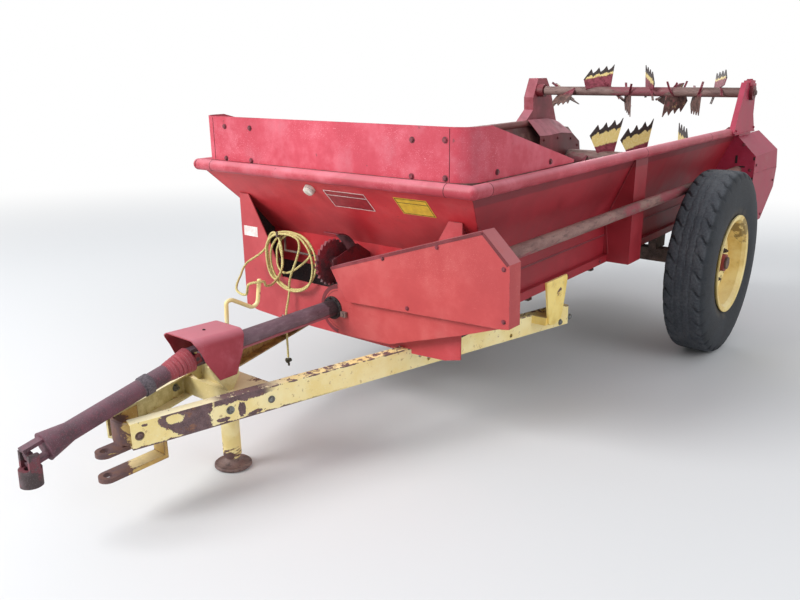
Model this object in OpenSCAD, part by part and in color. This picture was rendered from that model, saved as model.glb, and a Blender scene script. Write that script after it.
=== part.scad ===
// Towed box manure spreader, parked nose-down on its jack.
// Everything is laid out level, with Y = 0 at the axle and the hitch towards -Y,
// and parked() then tips it about the axle onto the jack.
// Millimetres. The origin is on the ground under the middle of the whole machine.

/* [Stance] */
// Fall of the load floor towards the hitch, in degrees
nose_down = 2.4; // [1.5:0.1:3]
// Height of the wheel centres above the ground
axle_z = 510; // [500:1:520]

/* [Load box] */
// Half the distance between the rails' centre lines; box, wheels and drive follow it
rail_x = 740; // [725:5:775]
// Height of the rails' centre lines
rail_z = 1165; // [1160:1:1175]
// Outer radius of the rail tube
rail_r = 25; // [22:1:27]
// Rail at the front of the box
rail_front_y = -2206; // [-2215:1:-2200]
// Rear ends of the side rails
rail_rear_y = 1060; // [1050:1:1070]
// Height of the crease between the sloped and the upright part of a side
crease_z = 840; // [830:1:850]
// Upper face of the load floor
floor_z = 690; // [688:1:694]
// Thickness of the box's sheet steel
sheet_t = 3; // [3:0.5:4]
// Height of the removable front board above the rail
board_h = 190; // [150:5:210]

/* [Drawbar] */
// Y of the drawbar legs' front ends
nose_y = -3170; // [-3180:1:-3160]
// Y of the drawbar legs' rear ends
leg_rear_y = -1160; // [-1180:1:-1150]
// X of a leg's outer face at its front end
leg_front_x = 75; // [74:1:80]
// Underside of the drawbar legs
leg_z = 390; // [388:1:394]
// Depth of the drawbar channel
leg_h = 93; // [91:1:96]
// Diameter of the hitch pin's hole
hitch_pin_d = 33; // [26:1:36]

/* [Wheels] */
// Width of a tyre across its sidewalls
tyre_w = 228; // [210:1:230]
// Radius of the rim's outer flange
rim_r = 272; // [268:1:276]

/* [Beaters] */
// Y and Z of the upper beater's shaft
top_beater = [960, 1400];
// Radius of the upper beater's tooth tips
top_tip_r = 190; // [180:1:195]
// Y and Z of the lower beater's shaft
main_beater = [1180, 900];
// Radius of the lower beater's tooth tips
main_tip_r = 308; // [290:1:312]

/* [Driveline] */
// Y and Z of the universal joint under the hood
hood_joint = [-2860, 602];
// Y and Z of the universal joint at the free end
end_joint = [-3465, 474];
// Diameter of the input yoke's splined bore
pto_bore_d = 35; // [34:0.1:36]
// Height of the long shaft tube
side_shaft_z = 915; // [905:1:920]

/* [Hidden] */
$fn = 64;
gap = 0.05;
sliver = 1;

origin_y = 1008.1;
far = 5000;

box_x = rail_x - 140;
board_x = rail_x - 18;
leg_rear_x = box_x + 15;
wheel_x = rail_x + 187;
side_shaft_x = rail_x + 27;
rail_drop = sqrt(rail_r * rail_r - 100);
panel_top = [rail_x - 10, rail_z - rail_drop];
front_top_y = rail_front_y + 20;
front_crease_y = -1900;
front_foot_y = -1885;
sill_x = box_x + 22;
sill_in_x = box_x - 25;
sill_bottom_z = 617;
sill_top_z = 655;
bulkhead_y = -2080;
bulkhead_t = 5;
bulkhead_x = box_x + 20;
bulkhead_bottom_z = 466;

leg_angle = atan2(leg_rear_x - leg_front_x, leg_rear_y - nose_y);
leg_len = (leg_rear_y - nose_y) / cos(leg_angle);
leg_flange = 42;
leg_t = 7;

apron_z = 640;
apron_r = 50;
apron_front_y = -1800;
apron_rear_y = 790;
chain_x = 380;
chain_w = 24;
chain_t = 14;
slat_x = box_x - 40;
slat_h = 12;
slat_w = 32;
slat_pitch = 324;

tyre_r = axle_z;
spindle_r = 22;

shaft_up = atan2(hood_joint[1] - end_joint[1], hood_joint[0] - end_joint[0]);
joint_span = norm(hood_joint - end_joint);
shaft_z = hood_joint[1];

jack_y = -2720;
jack_r = 28;
jack_tube_r = jack_r + 6.9;
jack_top_z = 516;
jack_tube_up = 50;
jack_foot_r = 71;
jack_foot_h = 22;

rope_r = 5;

// Tips the level machine about its axle and moves its middle to the origin
module parked() {
    translate([0, origin_y, axle_z])
        rotate([nose_down, 0, 0])
            translate([0, 0, -axle_z])
                children();
}

// Solid from an outline in X and Z, from y0 to y1
module along_y(y0, y1) {
    translate([0, y1, 0])
        rotate([90, 0, 0])
            linear_extrude(y1 - y0)
                children();
}

// Solid from an outline in Y and Z, from x0 to x1
module along_x(x0, x1) {
    translate([x0, 0, 0])
        rotate([90, 0, 90])
            linear_extrude(x1 - x0)
                children();
}

// Round bar along X
module bar_x(r, x0, x1, y, z) {
    translate([x0, y, z])
        rotate([0, 90, 0])
            cylinder(r = r, h = x1 - x0);
}

// Round bar along Y
module bar_y(r, y0, y1, x, z) {
    translate([x, y0, z])
        rotate([-90, 0, 0])
            cylinder(r = r, h = y1 - y0);
}

module mirrored(side) {
    mirror([side < 0 ? 1 : 0, 0, 0])
        children();
}

// Corner of an outline moved inwards by t, for an outline that runs anticlockwise
function unit(v) = v / norm(v);
function inward(a, b) = let (d = unit(b - a)) [-d[1], d[0]];
function inset_corner(a, b, c, t) =
    let (n1 = inward(a, b), n2 = inward(b, c))
    b + t * (n1 + n2) / (1 + n1 * n2);
function inset(pts, t) = [
    for (i = [0 : len(pts) - 1])
        inset_corner(pts[(i + len(pts) - 1) % len(pts)], pts[i], pts[(i + 1) % len(pts)], t)
];

// Load box

floor_t = 6;
notch_x = 24;
notch_y = 59;

// Sheet under the slats, notched where the chains go round their drums
module box_floor() {
    color("#6b4034")
        difference() {
            translate([-box_x + sheet_t, apron_front_y, floor_z - floor_t])
                cube([2 * (box_x - sheet_t), apron_rear_y - apron_front_y, floor_t]);
            for (x = [-chain_x, chain_x], y = [apron_front_y, apron_rear_y])
                translate([x - notch_x, y - notch_y, floor_z - floor_t - sliver])
                    cube([2 * notch_x, 2 * notch_y, floor_t + 2]);
        }
}

crossmember_front_y = -1700;
crossmember_rear_y = 540;
crossmember_pitch = 560;
crossmember_w = 60;
crossmember_t = 5;
crossmember_h = floor_z - floor_t - sill_bottom_z - 5;

// Channels, open downwards, between the two sills
module floor_crossmembers() {
    color("#8c1f22")
        for (y = [crossmember_front_y : crossmember_pitch : crossmember_rear_y])
            translate([-sill_in_x, y, sill_bottom_z + 5])
                difference() {
                    cube([2 * sill_in_x, crossmember_w, crossmember_h]);
                    translate([-sliver, crossmember_t, -sliver])
                        cube([
                            2 * sill_in_x + 2, crossmember_w - 2 * crossmember_t,
                            crossmember_h - crossmember_t + sliver
                        ]);
                }
}

// Channel with its web outside, from the bulkhead to the rear
module sill() {
    color("#a62028")
        along_y(bulkhead_y, rail_rear_y - 60)
            difference() {
                translate([sill_in_x, sill_bottom_z])
                    square([sill_x - sill_in_x, sill_top_z - sill_bottom_z]);
                translate([sill_in_x - sliver, sill_bottom_z + 4])
                    square([sill_x - sill_in_x - 4 + sliver, sill_top_z - sill_bottom_z - 8]);
                }
}

side_section = [
    [box_x, sill_top_z], [box_x, crease_z], panel_top,
    [panel_top[0] - sheet_t, panel_top[1] - sliver],
    [box_x - sheet_t, crease_z + 0.6], [box_x - sheet_t, sill_top_z]
];

side_outline = [
    [front_foot_y, sill_top_z], [1380, sill_top_z], [1490, 760], [1490, 1010], [1420, 1104],
    [rail_rear_y, panel_top[1]], [front_top_y, panel_top[1]], [front_crease_y, crease_z]
];

module side_panel() {
    color("#8f1d26")
        difference() {
            intersection() {
                along_y(-far, far)
                    polygon(side_section);
                along_x(0, far)
                    polygon(side_outline);
            }
            bar_x(main_shaft_r + gap, 0, far, main_beater[0], main_beater[1]);
        }
}

// X of the sloped part of a side at a height
function side_x(z) = box_x + (panel_top[0] - box_x) * (z - crease_z) / (panel_top[1] - crease_z);

front_face = [
    [front_top_y, panel_top[1]], [front_crease_y, crease_z], [front_foot_y, floor_z - 6]
];

module front_panel() {
    color("#b3232b")
        intersection() {
            along_x(-far, far)
                polygon(concat(front_face, [
                    [front_foot_y + sheet_t, floor_z - 6], [front_crease_y + sheet_t, crease_z + 1],
                    [front_top_y + sheet_t + 1, panel_top[1]]
                ]));
            along_y(-far, far)
                polygon([
                    [-box_x + sheet_t, floor_z - 6], [box_x - sheet_t, floor_z - 6],
                    [box_x - sheet_t, crease_z + 0.6], [panel_top[0] - sheet_t, panel_top[1]],
                    [-panel_top[0] + sheet_t, panel_top[1]], [-box_x + sheet_t, crease_z + 0.6]
                ]);
        }
}

// Y of the front wall's outer face below the crease
function foot_face_y(z) =
    front_crease_y + (front_foot_y - front_crease_y) * (crease_z - z) / (crease_z - floor_z + 6);

bulkhead_top_z = 1029;
window_bottom_z = 668;
window_knee_z = 806;
leg_notch_x = leg_x(bulkhead_y) - leg_flange / 2;

// Wall across the front, open above its sill plate and notched over the drawbar legs
module front_bulkhead() {
    color("#a82129")
        along_y(bulkhead_y - bulkhead_t, bulkhead_y)
            difference() {
                polygon([
                    [-bulkhead_x, bulkhead_top_z], [-bulkhead_x, 493], [-545, 474],
                    [-394, bulkhead_bottom_z], [394, bulkhead_bottom_z], [545, 474],
                    [bulkhead_x, 493], [bulkhead_x, bulkhead_top_z]
                ]);
                polygon([
                    [-560, bulkhead_top_z + sliver], [-425, window_knee_z], [-362, window_bottom_z],
                    [362, window_bottom_z], [425, window_knee_z], [560, bulkhead_top_z + sliver]
                ]);
                for (side = [-1, 1])
                    translate([side * leg_notch_x - 34, 0])
                        square([68, leg_z + leg_h]);
            }
}

// Tube round the front and both sides, with ball corners
module top_rail() {
    color("#b5343c")
        union() {
            bar_x(rail_r, -rail_x, rail_x, rail_front_y, rail_z);
            for (side = [-1, 1]) {
                bar_y(rail_r, rail_front_y, rail_rear_y, side * rail_x, rail_z);
                translate([side * rail_x, rail_front_y, rail_z])
                    sphere(r = rail_r + 0.4);
            }
        }
}

board_front_y = rail_front_y + 14;
board_corner_r = 90;
board_z = rail_z + rail_r;
wing_front_y = -2060;
wing_rear_y = -1410;

module board_plan(t) {
    difference() {
        translate([-board_x + t, board_front_y + t])
            square([2 * (board_x - t), wing_rear_y - board_front_y - t + (t > 0 ? sliver : 0)]);
        for (side = [-1, 1])
            translate([side * (board_x - board_corner_r), board_front_y + board_corner_r])
                difference() {
                    translate([side > 0 ? 0 : -far, -far])
                        square(far);
                    circle(r = board_corner_r - t);
                }
    }
}

module front_board() {
    color("#c04a55")
        difference() {
            translate([0, 0, board_z])
                linear_extrude(board_h)
                    difference() {
                        board_plan(0);
                        board_plan(sheet_t);
                    }
            along_x(-far, far)
                polygon([
                    [wing_front_y, board_z + board_h], [wing_front_y, board_z + board_h + far],
                    [wing_rear_y + sliver, board_z + board_h + far], [wing_rear_y + sliver, board_z + 12]
                ]);
        }
}

post_front_y = -765;
post_rear_y = -612;
post_x = rail_x - 4;
post_t = 4;
post_top_z = rail_z - rail_r - 0.5;

// Upright stiffener outside the box: two web plates and a face
module side_post() {
    color("#9c2028")
        union() {
            for (y = [post_front_y, post_rear_y - post_t])
                along_y(y, y + post_t)
                    polygon([
                        [sill_x, sill_bottom_z], [post_x, sill_bottom_z], [post_x, post_top_z],
                        [side_x(post_top_z), post_top_z], [box_x, crease_z], [box_x, sill_top_z],
                        [sill_x, sill_top_z]
                    ]);
            translate([post_x - post_t, post_front_y, sill_bottom_z])
                cube([post_t, post_rear_y - post_front_y, post_top_z - sill_bottom_z]);
        }
}

// Drawbar

// Columns: distance along the leg, height above its underside, diameter
leg_holes = [[26, 44, 32], [1184, 50, 18], [1229, 27, 18], [1705, 20, 18]];

// Channel open towards the middle
module drawbar_leg() {
    color("#d9b13b")
        translate([leg_front_x, nose_y, leg_z])
            rotate([0, 0, -leg_angle])
                difference() {
                    translate([-leg_flange, 0, 0])
                        cube([leg_flange, leg_len, leg_h]);
                    translate([-leg_flange - sliver, -sliver, leg_t])
                        cube([leg_flange - leg_t + sliver, leg_len + 2, leg_h - 2 * leg_t]);
                    for (hole = leg_holes)
                        translate([-leg_flange, hole[0], hole[1]])
                            rotate([0, 90, 0])
                                cylinder(d = hole[2], h = 2 * leg_flange);
                }
}

function leg_x(y) = leg_front_x + (y - nose_y) * tan(leg_angle);
cross_front_y = -2790;
cross_rear_y = -2640;
cross_z = 398;
cross_h = 72;
cross_t = 6;
web_in = (leg_t + 0.4) / cos(leg_angle);

module cross_plan(t) {
    polygon([
        [-leg_x(cross_front_y + t) + web_in + t, cross_front_y + t],
        [leg_x(cross_front_y + t) - web_in - t, cross_front_y + t],
        [leg_x(cross_rear_y - t) - web_in - t, cross_rear_y - t],
        [-leg_x(cross_rear_y - t) + web_in + t, cross_rear_y - t]
    ]);
}

// Folded plate between the legs, open downwards, with a hole for the jack
module drawbar_cross() {
    color("#e0c765")
        difference() {
            translate([0, 0, cross_z])
                linear_extrude(cross_h)
                    cross_plan(0);
            translate([0, 0, cross_z - sliver])
                linear_extrude(cross_h - cross_t + sliver)
                    cross_plan(cross_t);
            translate([0, jack_y, cross_z])
                cylinder(r = jack_tube_r + 0.1, h = cross_h + sliver);
        }
}

tongue_w = 64;
pin_y = -3227;
upper_tongue_z = 374;
lower_tongue_z = 285;
tongue_t = 16;

module tongue(z, rear_y) {
    translate([0, 0, z])
        difference() {
            union() {
                translate([-tongue_w / 2, pin_y, 0])
                    cube([tongue_w, rear_y - pin_y, tongue_t]);
                translate([0, pin_y, 0])
                    cylinder(d = tongue_w, h = tongue_t);
            }
            translate([0, pin_y, -sliver])
                cylinder(d = hitch_pin_d, h = tongue_t + 2);
        }
}

nose_x = 66;
nose_r = 50;
nose_wall = 9;
nose_front_y = nose_y - 10;
nose_rear_y = nose_y + 110;

module nose_plan(t) {
    difference() {
        translate([-nose_x + t, nose_front_y + t])
            square([2 * (nose_x - t), nose_rear_y - nose_front_y - t + (t > 0 ? sliver : 0)]);
        for (side = [-1, 1])
            translate([side * (nose_x - nose_r), nose_front_y + nose_r])
                difference() {
                    translate([side > 0 ? 0 : -far, -far])
                        square(far);
                    circle(r = nose_r - t);
                }
    }
}

// Bent plate inside the legs' front ends, wedged out to their webs, over two tongues
module hitch_nose() {
    color("#b9923f")
        union() {
            translate([0, 0, leg_z + leg_t])
                linear_extrude(leg_h - 2 * leg_t)
                    union() {
                        difference() {
                            nose_plan(0);
                            nose_plan(nose_wall);
                        }
                        for (side = [-1, 1])
                            mirrored(side)
                                polygon([
                                    [nose_x - sliver, nose_front_y + nose_r],
                                    [leg_x(nose_front_y + nose_r) - web_in, nose_front_y + nose_r],
                                    [leg_x(nose_rear_y) - web_in, nose_rear_y], [nose_x - sliver, nose_rear_y]
                                ]);
                    }
            translate([nose_r - nose_x - 10, nose_front_y + 0.5, leg_z - sliver])
                cube([2 * (nose_x - nose_r) + 20, nose_wall, leg_t + 2]);
            tongue(upper_tongue_z, nose_y + 160);
            tongue(lower_tongue_z, nose_y + 140);
            translate([-tongue_w / 2, nose_y + 140, lower_tongue_z])
                cube([tongue_w, 14, upper_tongue_z - lower_tongue_z]);
        }
}

hanger_t = 10;
hanger_wedge_y = [-1400, -1255];
hanger_outline = [
    [-1423, 653], [-1404, 549], [-1386, 453], [-1366, 440], [-1332, 435], [-1275, 445], [-1257, 477],
    [-1238, 550], [-1221, 637], [-1228, 653]
];

// Plate from the sill's web down to a drawbar leg's rear end, with a wedge behind it
module leg_hanger() {
    color("#d9b13b")
        union() {
            along_x(sill_x, sill_x + hanger_t)
                polygon(hanger_outline);
            translate([0, 0, leg_z + leg_t + 48])
                linear_extrude(leg_h - leg_t - 50)
                    polygon([
                        [leg_x(hanger_wedge_y[0]), hanger_wedge_y[0]], [sill_x + sliver, hanger_wedge_y[0]],
                        [sill_x + sliver, hanger_wedge_y[1]], [leg_x(hanger_wedge_y[1]), hanger_wedge_y[1]]
                    ]);
        }
}

module bulkhead_brackets() {
    color("#8f1d26")
        for (side = [-1, 1])
            mirrored(side)
                union() {
                    translate([330, bulkhead_y, leg_z + leg_h])
                        cube([220, 8, 90]);
                    translate([330, bulkhead_y, leg_z + leg_h])
                        cube([60, 120, 8]);
                }
}

// Outer tube of the jack, capped, down almost to the foot
module jack_tube() {
    color("#d9b13b")
        difference() {
            translate([0, jack_y, foot_z + jack_tube_up])
                cylinder(r = jack_tube_r, h = jack_top_z - foot_z - jack_tube_up);
            translate([0, jack_y, foot_z + jack_tube_up - sliver])
                cylinder(r = jack_r + gap, h = jack_top_z - foot_z - jack_tube_up - 5);
        }
}

crank_r = 8;
crank_x = -48;
crank_path = [[-2668, 500], [-2655, 746], [-2631, 750], [-2532, 694], [-2505, 705], [-2489, 796]];
crank_head = [29, 44, 38];

module crank_rod(a, b) {
    d = b - a;
    translate([crank_x, a[0], a[1]])
        rotate([-atan2(d[0], d[1]), 0, 0])
            cylinder(r = crank_r, h = norm(d));
}

// Bent rod, with a gear head beside the jack's tube
module jack_crank() {
    color("#d6a92f")
        union() {
            for (i = [0 : len(crank_path) - 2])
                crank_rod(crank_path[i], crank_path[i + 1]);
            for (p = crank_path)
                translate([crank_x, p[0], p[1]])
                    sphere(r = crank_r + 0.4);
            translate([crank_x - crank_head[0] / 2, crank_path[0][0] - 20, cross_z + cross_h])
                cube(crank_head);
        }
}

hood_x = 94;
hood_top_z = 687;
hood_r = 32;
hood_t = 3;
hood_lean = 3.2;
hood_mid = [-2800, 684];
hood_side = [
    [-2907, 720], [-2907, 679], [-2885, 640], [-2867, 598], [-2817, 522], [-2742, 522], [-2708, 602],
    [-2700, 648], [-2692, 680], [-2692, 720]
];

module hood_section(t) {
    union() {
        translate([-hood_x + t, 460])
            square([2 * (hood_x - t), hood_top_z - hood_r - 460]);
        translate([-hood_x + hood_r, 460])
            square([2 * (hood_x - hood_r), hood_top_z - 460 - t]);
        for (side = [-1, 1])
            translate([side * (hood_x - hood_r), hood_top_z - hood_r])
                circle(r = hood_r - t);
    }
}

// Arched guard over the universal joint, falling to the rear, its sides cut back below
module pto_hood() {
    color("#b8444e")
        intersection() {
            along_x(-far, far)
                polygon(hood_side);
            translate([0, hood_mid[0], hood_mid[1]])
                rotate([-hood_lean, 0, 0])
                    translate([0, -hood_mid[0], -hood_mid[1]])
                        difference() {
                            along_y(-3000, -2600)
                                hood_section(0);
                            translate([0, 0, -sliver])
                                along_y(-3000 - sliver, -2600 + sliver)
                                    hood_section(hood_t);
                        }
        }
}

cheek_t = 8;
cheek_outline = [
    [-2861, 584], [-2838, 535], [-2782, cross_z + cross_h], [-2762, cross_z + cross_h],
    [-2730, 515], [-2730, 600], [-2850, 600]
];
carrier_y = [-2788, -2766, -2756];
carrier_x = 80;

// Plate that carries the shaft's bearing under the hood, and two cheeks that carry the hood
module carrier_bearing() {
    color("#d9b13b")
        union() {
            difference() {
                union() {
                    along_y(carrier_y[1], carrier_y[2])
                        polygon([
                            [-carrier_x, cross_z + cross_h], [carrier_x, cross_z + cross_h],
                            [carrier_x, 600], [55, 655], [-55, 655], [-carrier_x, 600]
                        ]);
                    bar_y(48, carrier_y[0], carrier_y[1] + sliver, 0, shaft_z);
                }
                bar_y(24.1, carrier_y[0] - sliver, carrier_y[2] + sliver, 0, shaft_z);
            }
            for (side = [-1, 1])
                mirrored(side)
                    union() {
                        along_x(hood_x - hood_t - cheek_t, hood_x - hood_t)
                            polygon(cheek_outline);
                        along_x(carrier_x - sliver, hood_x - hood_t - cheek_t + sliver)
                            polygon([
                                [carrier_y[1], cross_z + cross_h], [carrier_y[2], cross_z + cross_h],
                                [carrier_y[2], 580], [carrier_y[1], 580]
                            ]);
                    }
        }
}

tube_rear_y = bulkhead_y - 60;

// Shaft tube from the hood to the front chain shield, with the rear half of the hood's joint
module driveline_tube() {
    color("#5a2c33")
        union() {
            bar_y(35, carrier_y[2] + 0.4, tube_rear_y, 0, shaft_z);
            bar_y(24, hood_joint[0] + 50, carrier_y[2] + 0.4, 0, shaft_z);
            translate([0, hood_joint[0], shaft_z])
                rotate([-90, 90, 0])
                    union() {
                        ears(60, false);
                        translate([0, 0, 46])
                            cylinder(r = yoke_r, h = 24);
                        spider();
                    }
        }
}

// Chain shields

shield_outline = [
    [15, 787], [99, 652], [side_shaft_x + 78, 685], [side_shaft_x + 106, 690],
    [side_shaft_x + 101, 922], [side_shaft_x - 11, 1029]
];
shield_front_y = bulkhead_y - 80;
shield_back_y = bulkhead_y - bulkhead_t - 4;

module chain_shield() {
    color("#b42a30")
        union() {
            difference() {
                along_y(shield_front_y, shield_back_y)
                    polygon(shield_outline);
                along_y(shield_front_y + sheet_t, shield_back_y + sliver)
                    polygon(inset(shield_outline, sheet_t));
            }
            difference() {
                along_y(shield_back_y, shield_back_y + 4)
                    polygon(shield_outline);
                bar_y(30, shield_back_y - sliver, shield_back_y + 6, side_shaft_x, side_shaft_z);
            }
        }
}

pan_outline = [
    [60, 492], [306, 503], [side_shaft_x - 111, 616], [side_shaft_x + 78, 684.4], [98, 651.4]
];
pan_front_y = bulkhead_y - 55;
lobe = [40, 600];
lobe_r = 108;

module pan_shape(t) {
    difference() {
        union() {
            polygon(inset(pan_outline, t));
            translate(lobe)
                circle(r = lobe_r - t);
        }
        polygon([
            [-200, 900], [-200, 812], [10, 787 - t], [98, 651.5 - t], [side_shaft_x + 79, 684.5 - t],
            [side_shaft_x + 133, 900]
        ]);
    }
}

// Lower pan of the front chain shield, with a round lobe about the shaft tube's end
module chain_shield_pan() {
    color("#b42a30")
        difference() {
            along_y(pan_front_y, shield_back_y + 4)
                pan_shape(0);
            along_y(pan_front_y + sheet_t, shield_back_y + 4 + sliver)
                pan_shape(sheet_t);
        }
}

shaft_tube_rear_y = 889;

module side_shaft_tube() {
    color("#7d5f58")
        bar_y(27, shield_back_y + 4, shaft_tube_rear_y, side_shaft_x, side_shaft_z);
}

rear_shield_x = rail_x + 130;
rear_shield_in_x = rail_x + 5;
rear_shield_front_y = 895;
rear_shield_outline = [
    [rear_shield_front_y, 560], [1199, 560], [1459, 751], [1483, 885], [1400, 1140],
    [rear_shield_front_y, 1140]
];

// Boxed guard over the chains that drive the beaters, open towards the load box
module rear_chain_shield() {
    color("#b5343c")
        difference() {
            intersection() {
                along_x(rear_shield_in_x, rear_shield_x)
                    polygon(rear_shield_outline);
                along_y(-far, far)
                    polygon([[rear_shield_in_x, 540], [rear_shield_x, 540], [rear_shield_x, 1010],
                        [rear_shield_in_x, 1135]]);
            }
            intersection() {
                along_x(rear_shield_in_x - sliver, rear_shield_x - sheet_t)
                    polygon(inset(rear_shield_outline, sheet_t));
                along_y(-far, far)
                    polygon([[rear_shield_in_x - sliver, 540], [rear_shield_x, 540],
                        [rear_shield_x, 1006], [rear_shield_in_x - sliver, 1131]]);
            }
        }
}

// Plate that stands out from the side panel in front of the rear shield
module rear_shield_bracket() {
    color("#8f1d26")
        along_y(shaft_tube_rear_y, shaft_tube_rear_y + 6)
            polygon([
                [box_x, crease_z - 80], [rear_shield_x, crease_z - 80], [rear_shield_x, 1010],
                [rear_shield_in_x + 5, 1130], panel_top, [box_x, crease_z]
            ]);
}

// Beaters and their posts

post_outline = [
    [690, rail_z - 5], [1155, rail_z - 19], [1085, 1262], [1072, 1455], [850, 1465]
];
house_outline = [
    [745, rail_z - 5], [1270, rail_z - 20], [1236, 1215], [1140, 1414], [1076, 1490],
    [945, 1490], [877, 1352], [885, 1262]
];
beater_post_x = rail_x + 1;
beater_post_t = 34;
house_w = 80;
beater_shaft_r = 20;

// Plate post on the left rail
module beater_post() {
    color("#a5323c")
        difference() {
            along_x(beater_post_x, beater_post_x + beater_post_t)
                polygon(post_outline);
            bar_x(beater_shaft_r + gap, 0, far, top_beater[0], top_beater[1]);
            bar_y(rail_r, 0, rail_rear_y, rail_x, rail_z);
        }
}

// Wide sheet housing on the right rail, hollow
module beater_house() {
    color("#8c3038")
        difference() {
            along_x(beater_post_x, beater_post_x + house_w)
                polygon(house_outline);
            along_x(beater_post_x + sheet_t, beater_post_x + house_w - sheet_t)
                polygon(inset(house_outline, sheet_t));
            bar_x(beater_shaft_r + gap, 0, beater_post_x + house_w / 2, top_beater[0], top_beater[1]);
            bar_y(rail_r, 0, rail_rear_y, rail_x, rail_z);
        }
}

bearing_t = 22;
bearing_r = 46;
main_bearing_r = 60;
inner_bearing_t = 52;

module bearing(x0, at, shaft_r, t) {
    difference() {
        bar_x(bearing_r, x0, x0 + t, at[0], at[1]);
        bar_x(shaft_r + gap, x0 - sliver, x0 + t + sliver, at[0], at[1]);
    }
}

module beater_bearings() {
    color("#59443e") {
        bearing(beater_post_x + beater_post_t, top_beater, beater_shaft_r, bearing_t);
        mirrored(-1)
            bearing(beater_post_x - inner_bearing_t, top_beater, beater_shaft_r, inner_bearing_t);
        for (side = [-1, 1])
            mirrored(side)
                main_housing();
    }
}

main_shaft_r = 25;

// Block between the sloped side and its bearing's face
module main_housing() {
    difference() {
        intersection() {
            bar_x(main_bearing_r, box_x, box_x + 70, main_beater[0], main_beater[1]);
            along_y(-far, far)
                polygon([
                    [box_x, sill_top_z], [box_x, crease_z], panel_top, [far, panel_top[1]],
                    [far, sill_top_z]
                ]);
        }
        bar_x(main_shaft_r + gap, 0, far, main_beater[0], main_beater[1]);
    }
}

paddle_teeth = 4;
paddle_t = 6;

// Saw teeth along the upper edge of a paddle that is w wide and h high
function saw_edge(w, h, rise, depth, drop) =
    let (pitch = w / paddle_teeth, fall = rise / paddle_teeth)
    [
        for (i = [0 : paddle_teeth - 1])
            each concat(
                [[w / 2 - i * pitch, h - i * fall]],
                i < paddle_teeth - 1 ? [
                    [w / 2 - (i + 0.4) * pitch, h - (i + 0.4) * fall - 0.7 * depth],
                    [w / 2 - (i + 0.78) * pitch, h - (i + 0.78) * fall - depth]
                ] : [[-w / 2, h - rise - drop]]
            )
    ];

// Height of a paddle's plate whose tallest tooth, turned by the twist, ends at radius r
function plate_top(r, w, twist) = sqrt(r * r - pow(w / 2 * sin(twist), 2));

// Flat toothed plate that stands on a round tube, turned about its own radius
module paddle(size, tube_r, tip_r, twist) {
    rotate([90, 0, twist])
        translate([0, 0, -paddle_t / 2])
            linear_extrude(paddle_t)
                polygon(concat(
                    [[-size[1] / 2, tube_r * 0.6], [size[1] / 2, tube_r * 0.6]],
                    saw_edge(size[0], plate_top(tip_r, size[0], twist), size[2], size[3], size[4])
                ));
}

// A shaft's paddles; those of hand -1 are the mirror image of the others
module paddles(table, at, size, tube_r, tip_r) {
    difference() {
        for (row = table)
            translate([row[0], at[0], at[1]])
                rotate([row[1], 0, 0])
                    mirrored(row[2])
                        paddle(size, tube_r, tip_r, row[3]);
        bar_x(tube_r, -far / 2, far / 2, at[0], at[1]);
    }
}

// Columns: place along the shaft, turn about the shaft, hand, twist about the paddle's own radius
top_paddle_table = [
    [-265, 0, 1, 22], [114, 6, -1, 52], [572, -24, -1, 54], [-510, 128, 1, 22], [-38, 182, 1, 55],
    [300, 180, -1, 62], [440, 168, 1, 55], [-560, 258, 1, 40], [-150, 256, 1, 40], [240, 262, -1, 40]
];
// A paddle's width, width at its foot, rise of the teeth, depth of a tooth, drop of the last one
top_paddle = [210, 120, 42, 32, 62];

top_tube_r = 31;

module top_beater_tube() {
    color("#6e4a46")
        union() {
            bar_x(top_tube_r, -beater_post_x + inner_bearing_t + 6, beater_post_x - 6, top_beater[0], top_beater[1]);
            bar_x(beater_shaft_r, -beater_post_x - 64, beater_post_x + 64, top_beater[0], top_beater[1]);
        }
}

module top_beater_paddles() {
    color("#c9a13a")
        paddles(top_paddle_table, top_beater, top_paddle, top_tube_r, top_tip_r);
}

// Columns: place along the shaft, turn about the shaft, hand, twist about the paddle's own radius
main_paddle_table = [
    [-270, 4, 1, 30], [-20, 12, 1, 38], [290, -8, -1, 54], [-440, 118, 1, 40], [-470, 196, 1, 40],
    [-450, 250, 1, 40], [-215, 128, 1, 35], [-215, 248, 1, 35], [20, 160, 1, 40], [60, 255, 1, 40],
    [215, 100, -1, 50], [430, 108, -1, 50], [290, 205, -1, 50], [440, 260, -1, 50]
];
main_paddle = [244, 124, 62, 44, 66];

main_tube_r = 55;
main_sprocket_x = side_shaft_x + 33;
main_sprocket_r = 96;

// Tube, its shaft, and the sprocket on the end that reaches into the rear shield
module main_beater_tube() {
    color("#6e2f33")
        union() {
            bar_x(main_tube_r, -box_x + 30, box_x - 30, main_beater[0], main_beater[1]);
            bar_x(main_shaft_r, -box_x - 90, main_sprocket_x + 46, main_beater[0], main_beater[1]);
            bar_x(44, main_sprocket_x - 14, main_sprocket_x + 26, main_beater[0], main_beater[1]);
            along_x(main_sprocket_x, main_sprocket_x + 12)
                translate(main_beater)
                    polygon(toothed(main_sprocket_r, 20, 12, 0.5));
        }
}

module main_beater_paddles() {
    color("#c9a13a")
        paddles(main_paddle_table, main_beater, main_paddle, main_tube_r, main_tip_r);
}

// Running gear

axle_x = rail_x + 30;

// Square tube with a round spindle at each end, under two pads
module axle() {
    color("#5b4a44")
        union() {
            difference() {
                translate([-axle_x, -38, axle_z - 38])
                    cube([2 * axle_x, 76, 76]);
                translate([-axle_x + 70, -30, axle_z - 30])
                    cube([2 * axle_x - 140, 60, 60]);
            }
            for (side = [-1, 1])
                mirrored(side) {
                    translate([sill_in_x, -70, axle_z + 38])
                        cube([sill_x - sill_in_x, 140, sill_bottom_z - axle_z - 38]);
                    bar_x(spindle_r, axle_x, wheel_x + 72, 0, axle_z);
                    bar_x(34, wheel_x + 72, wheel_x + 82, 0, axle_z);
                }
        }
}

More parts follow.
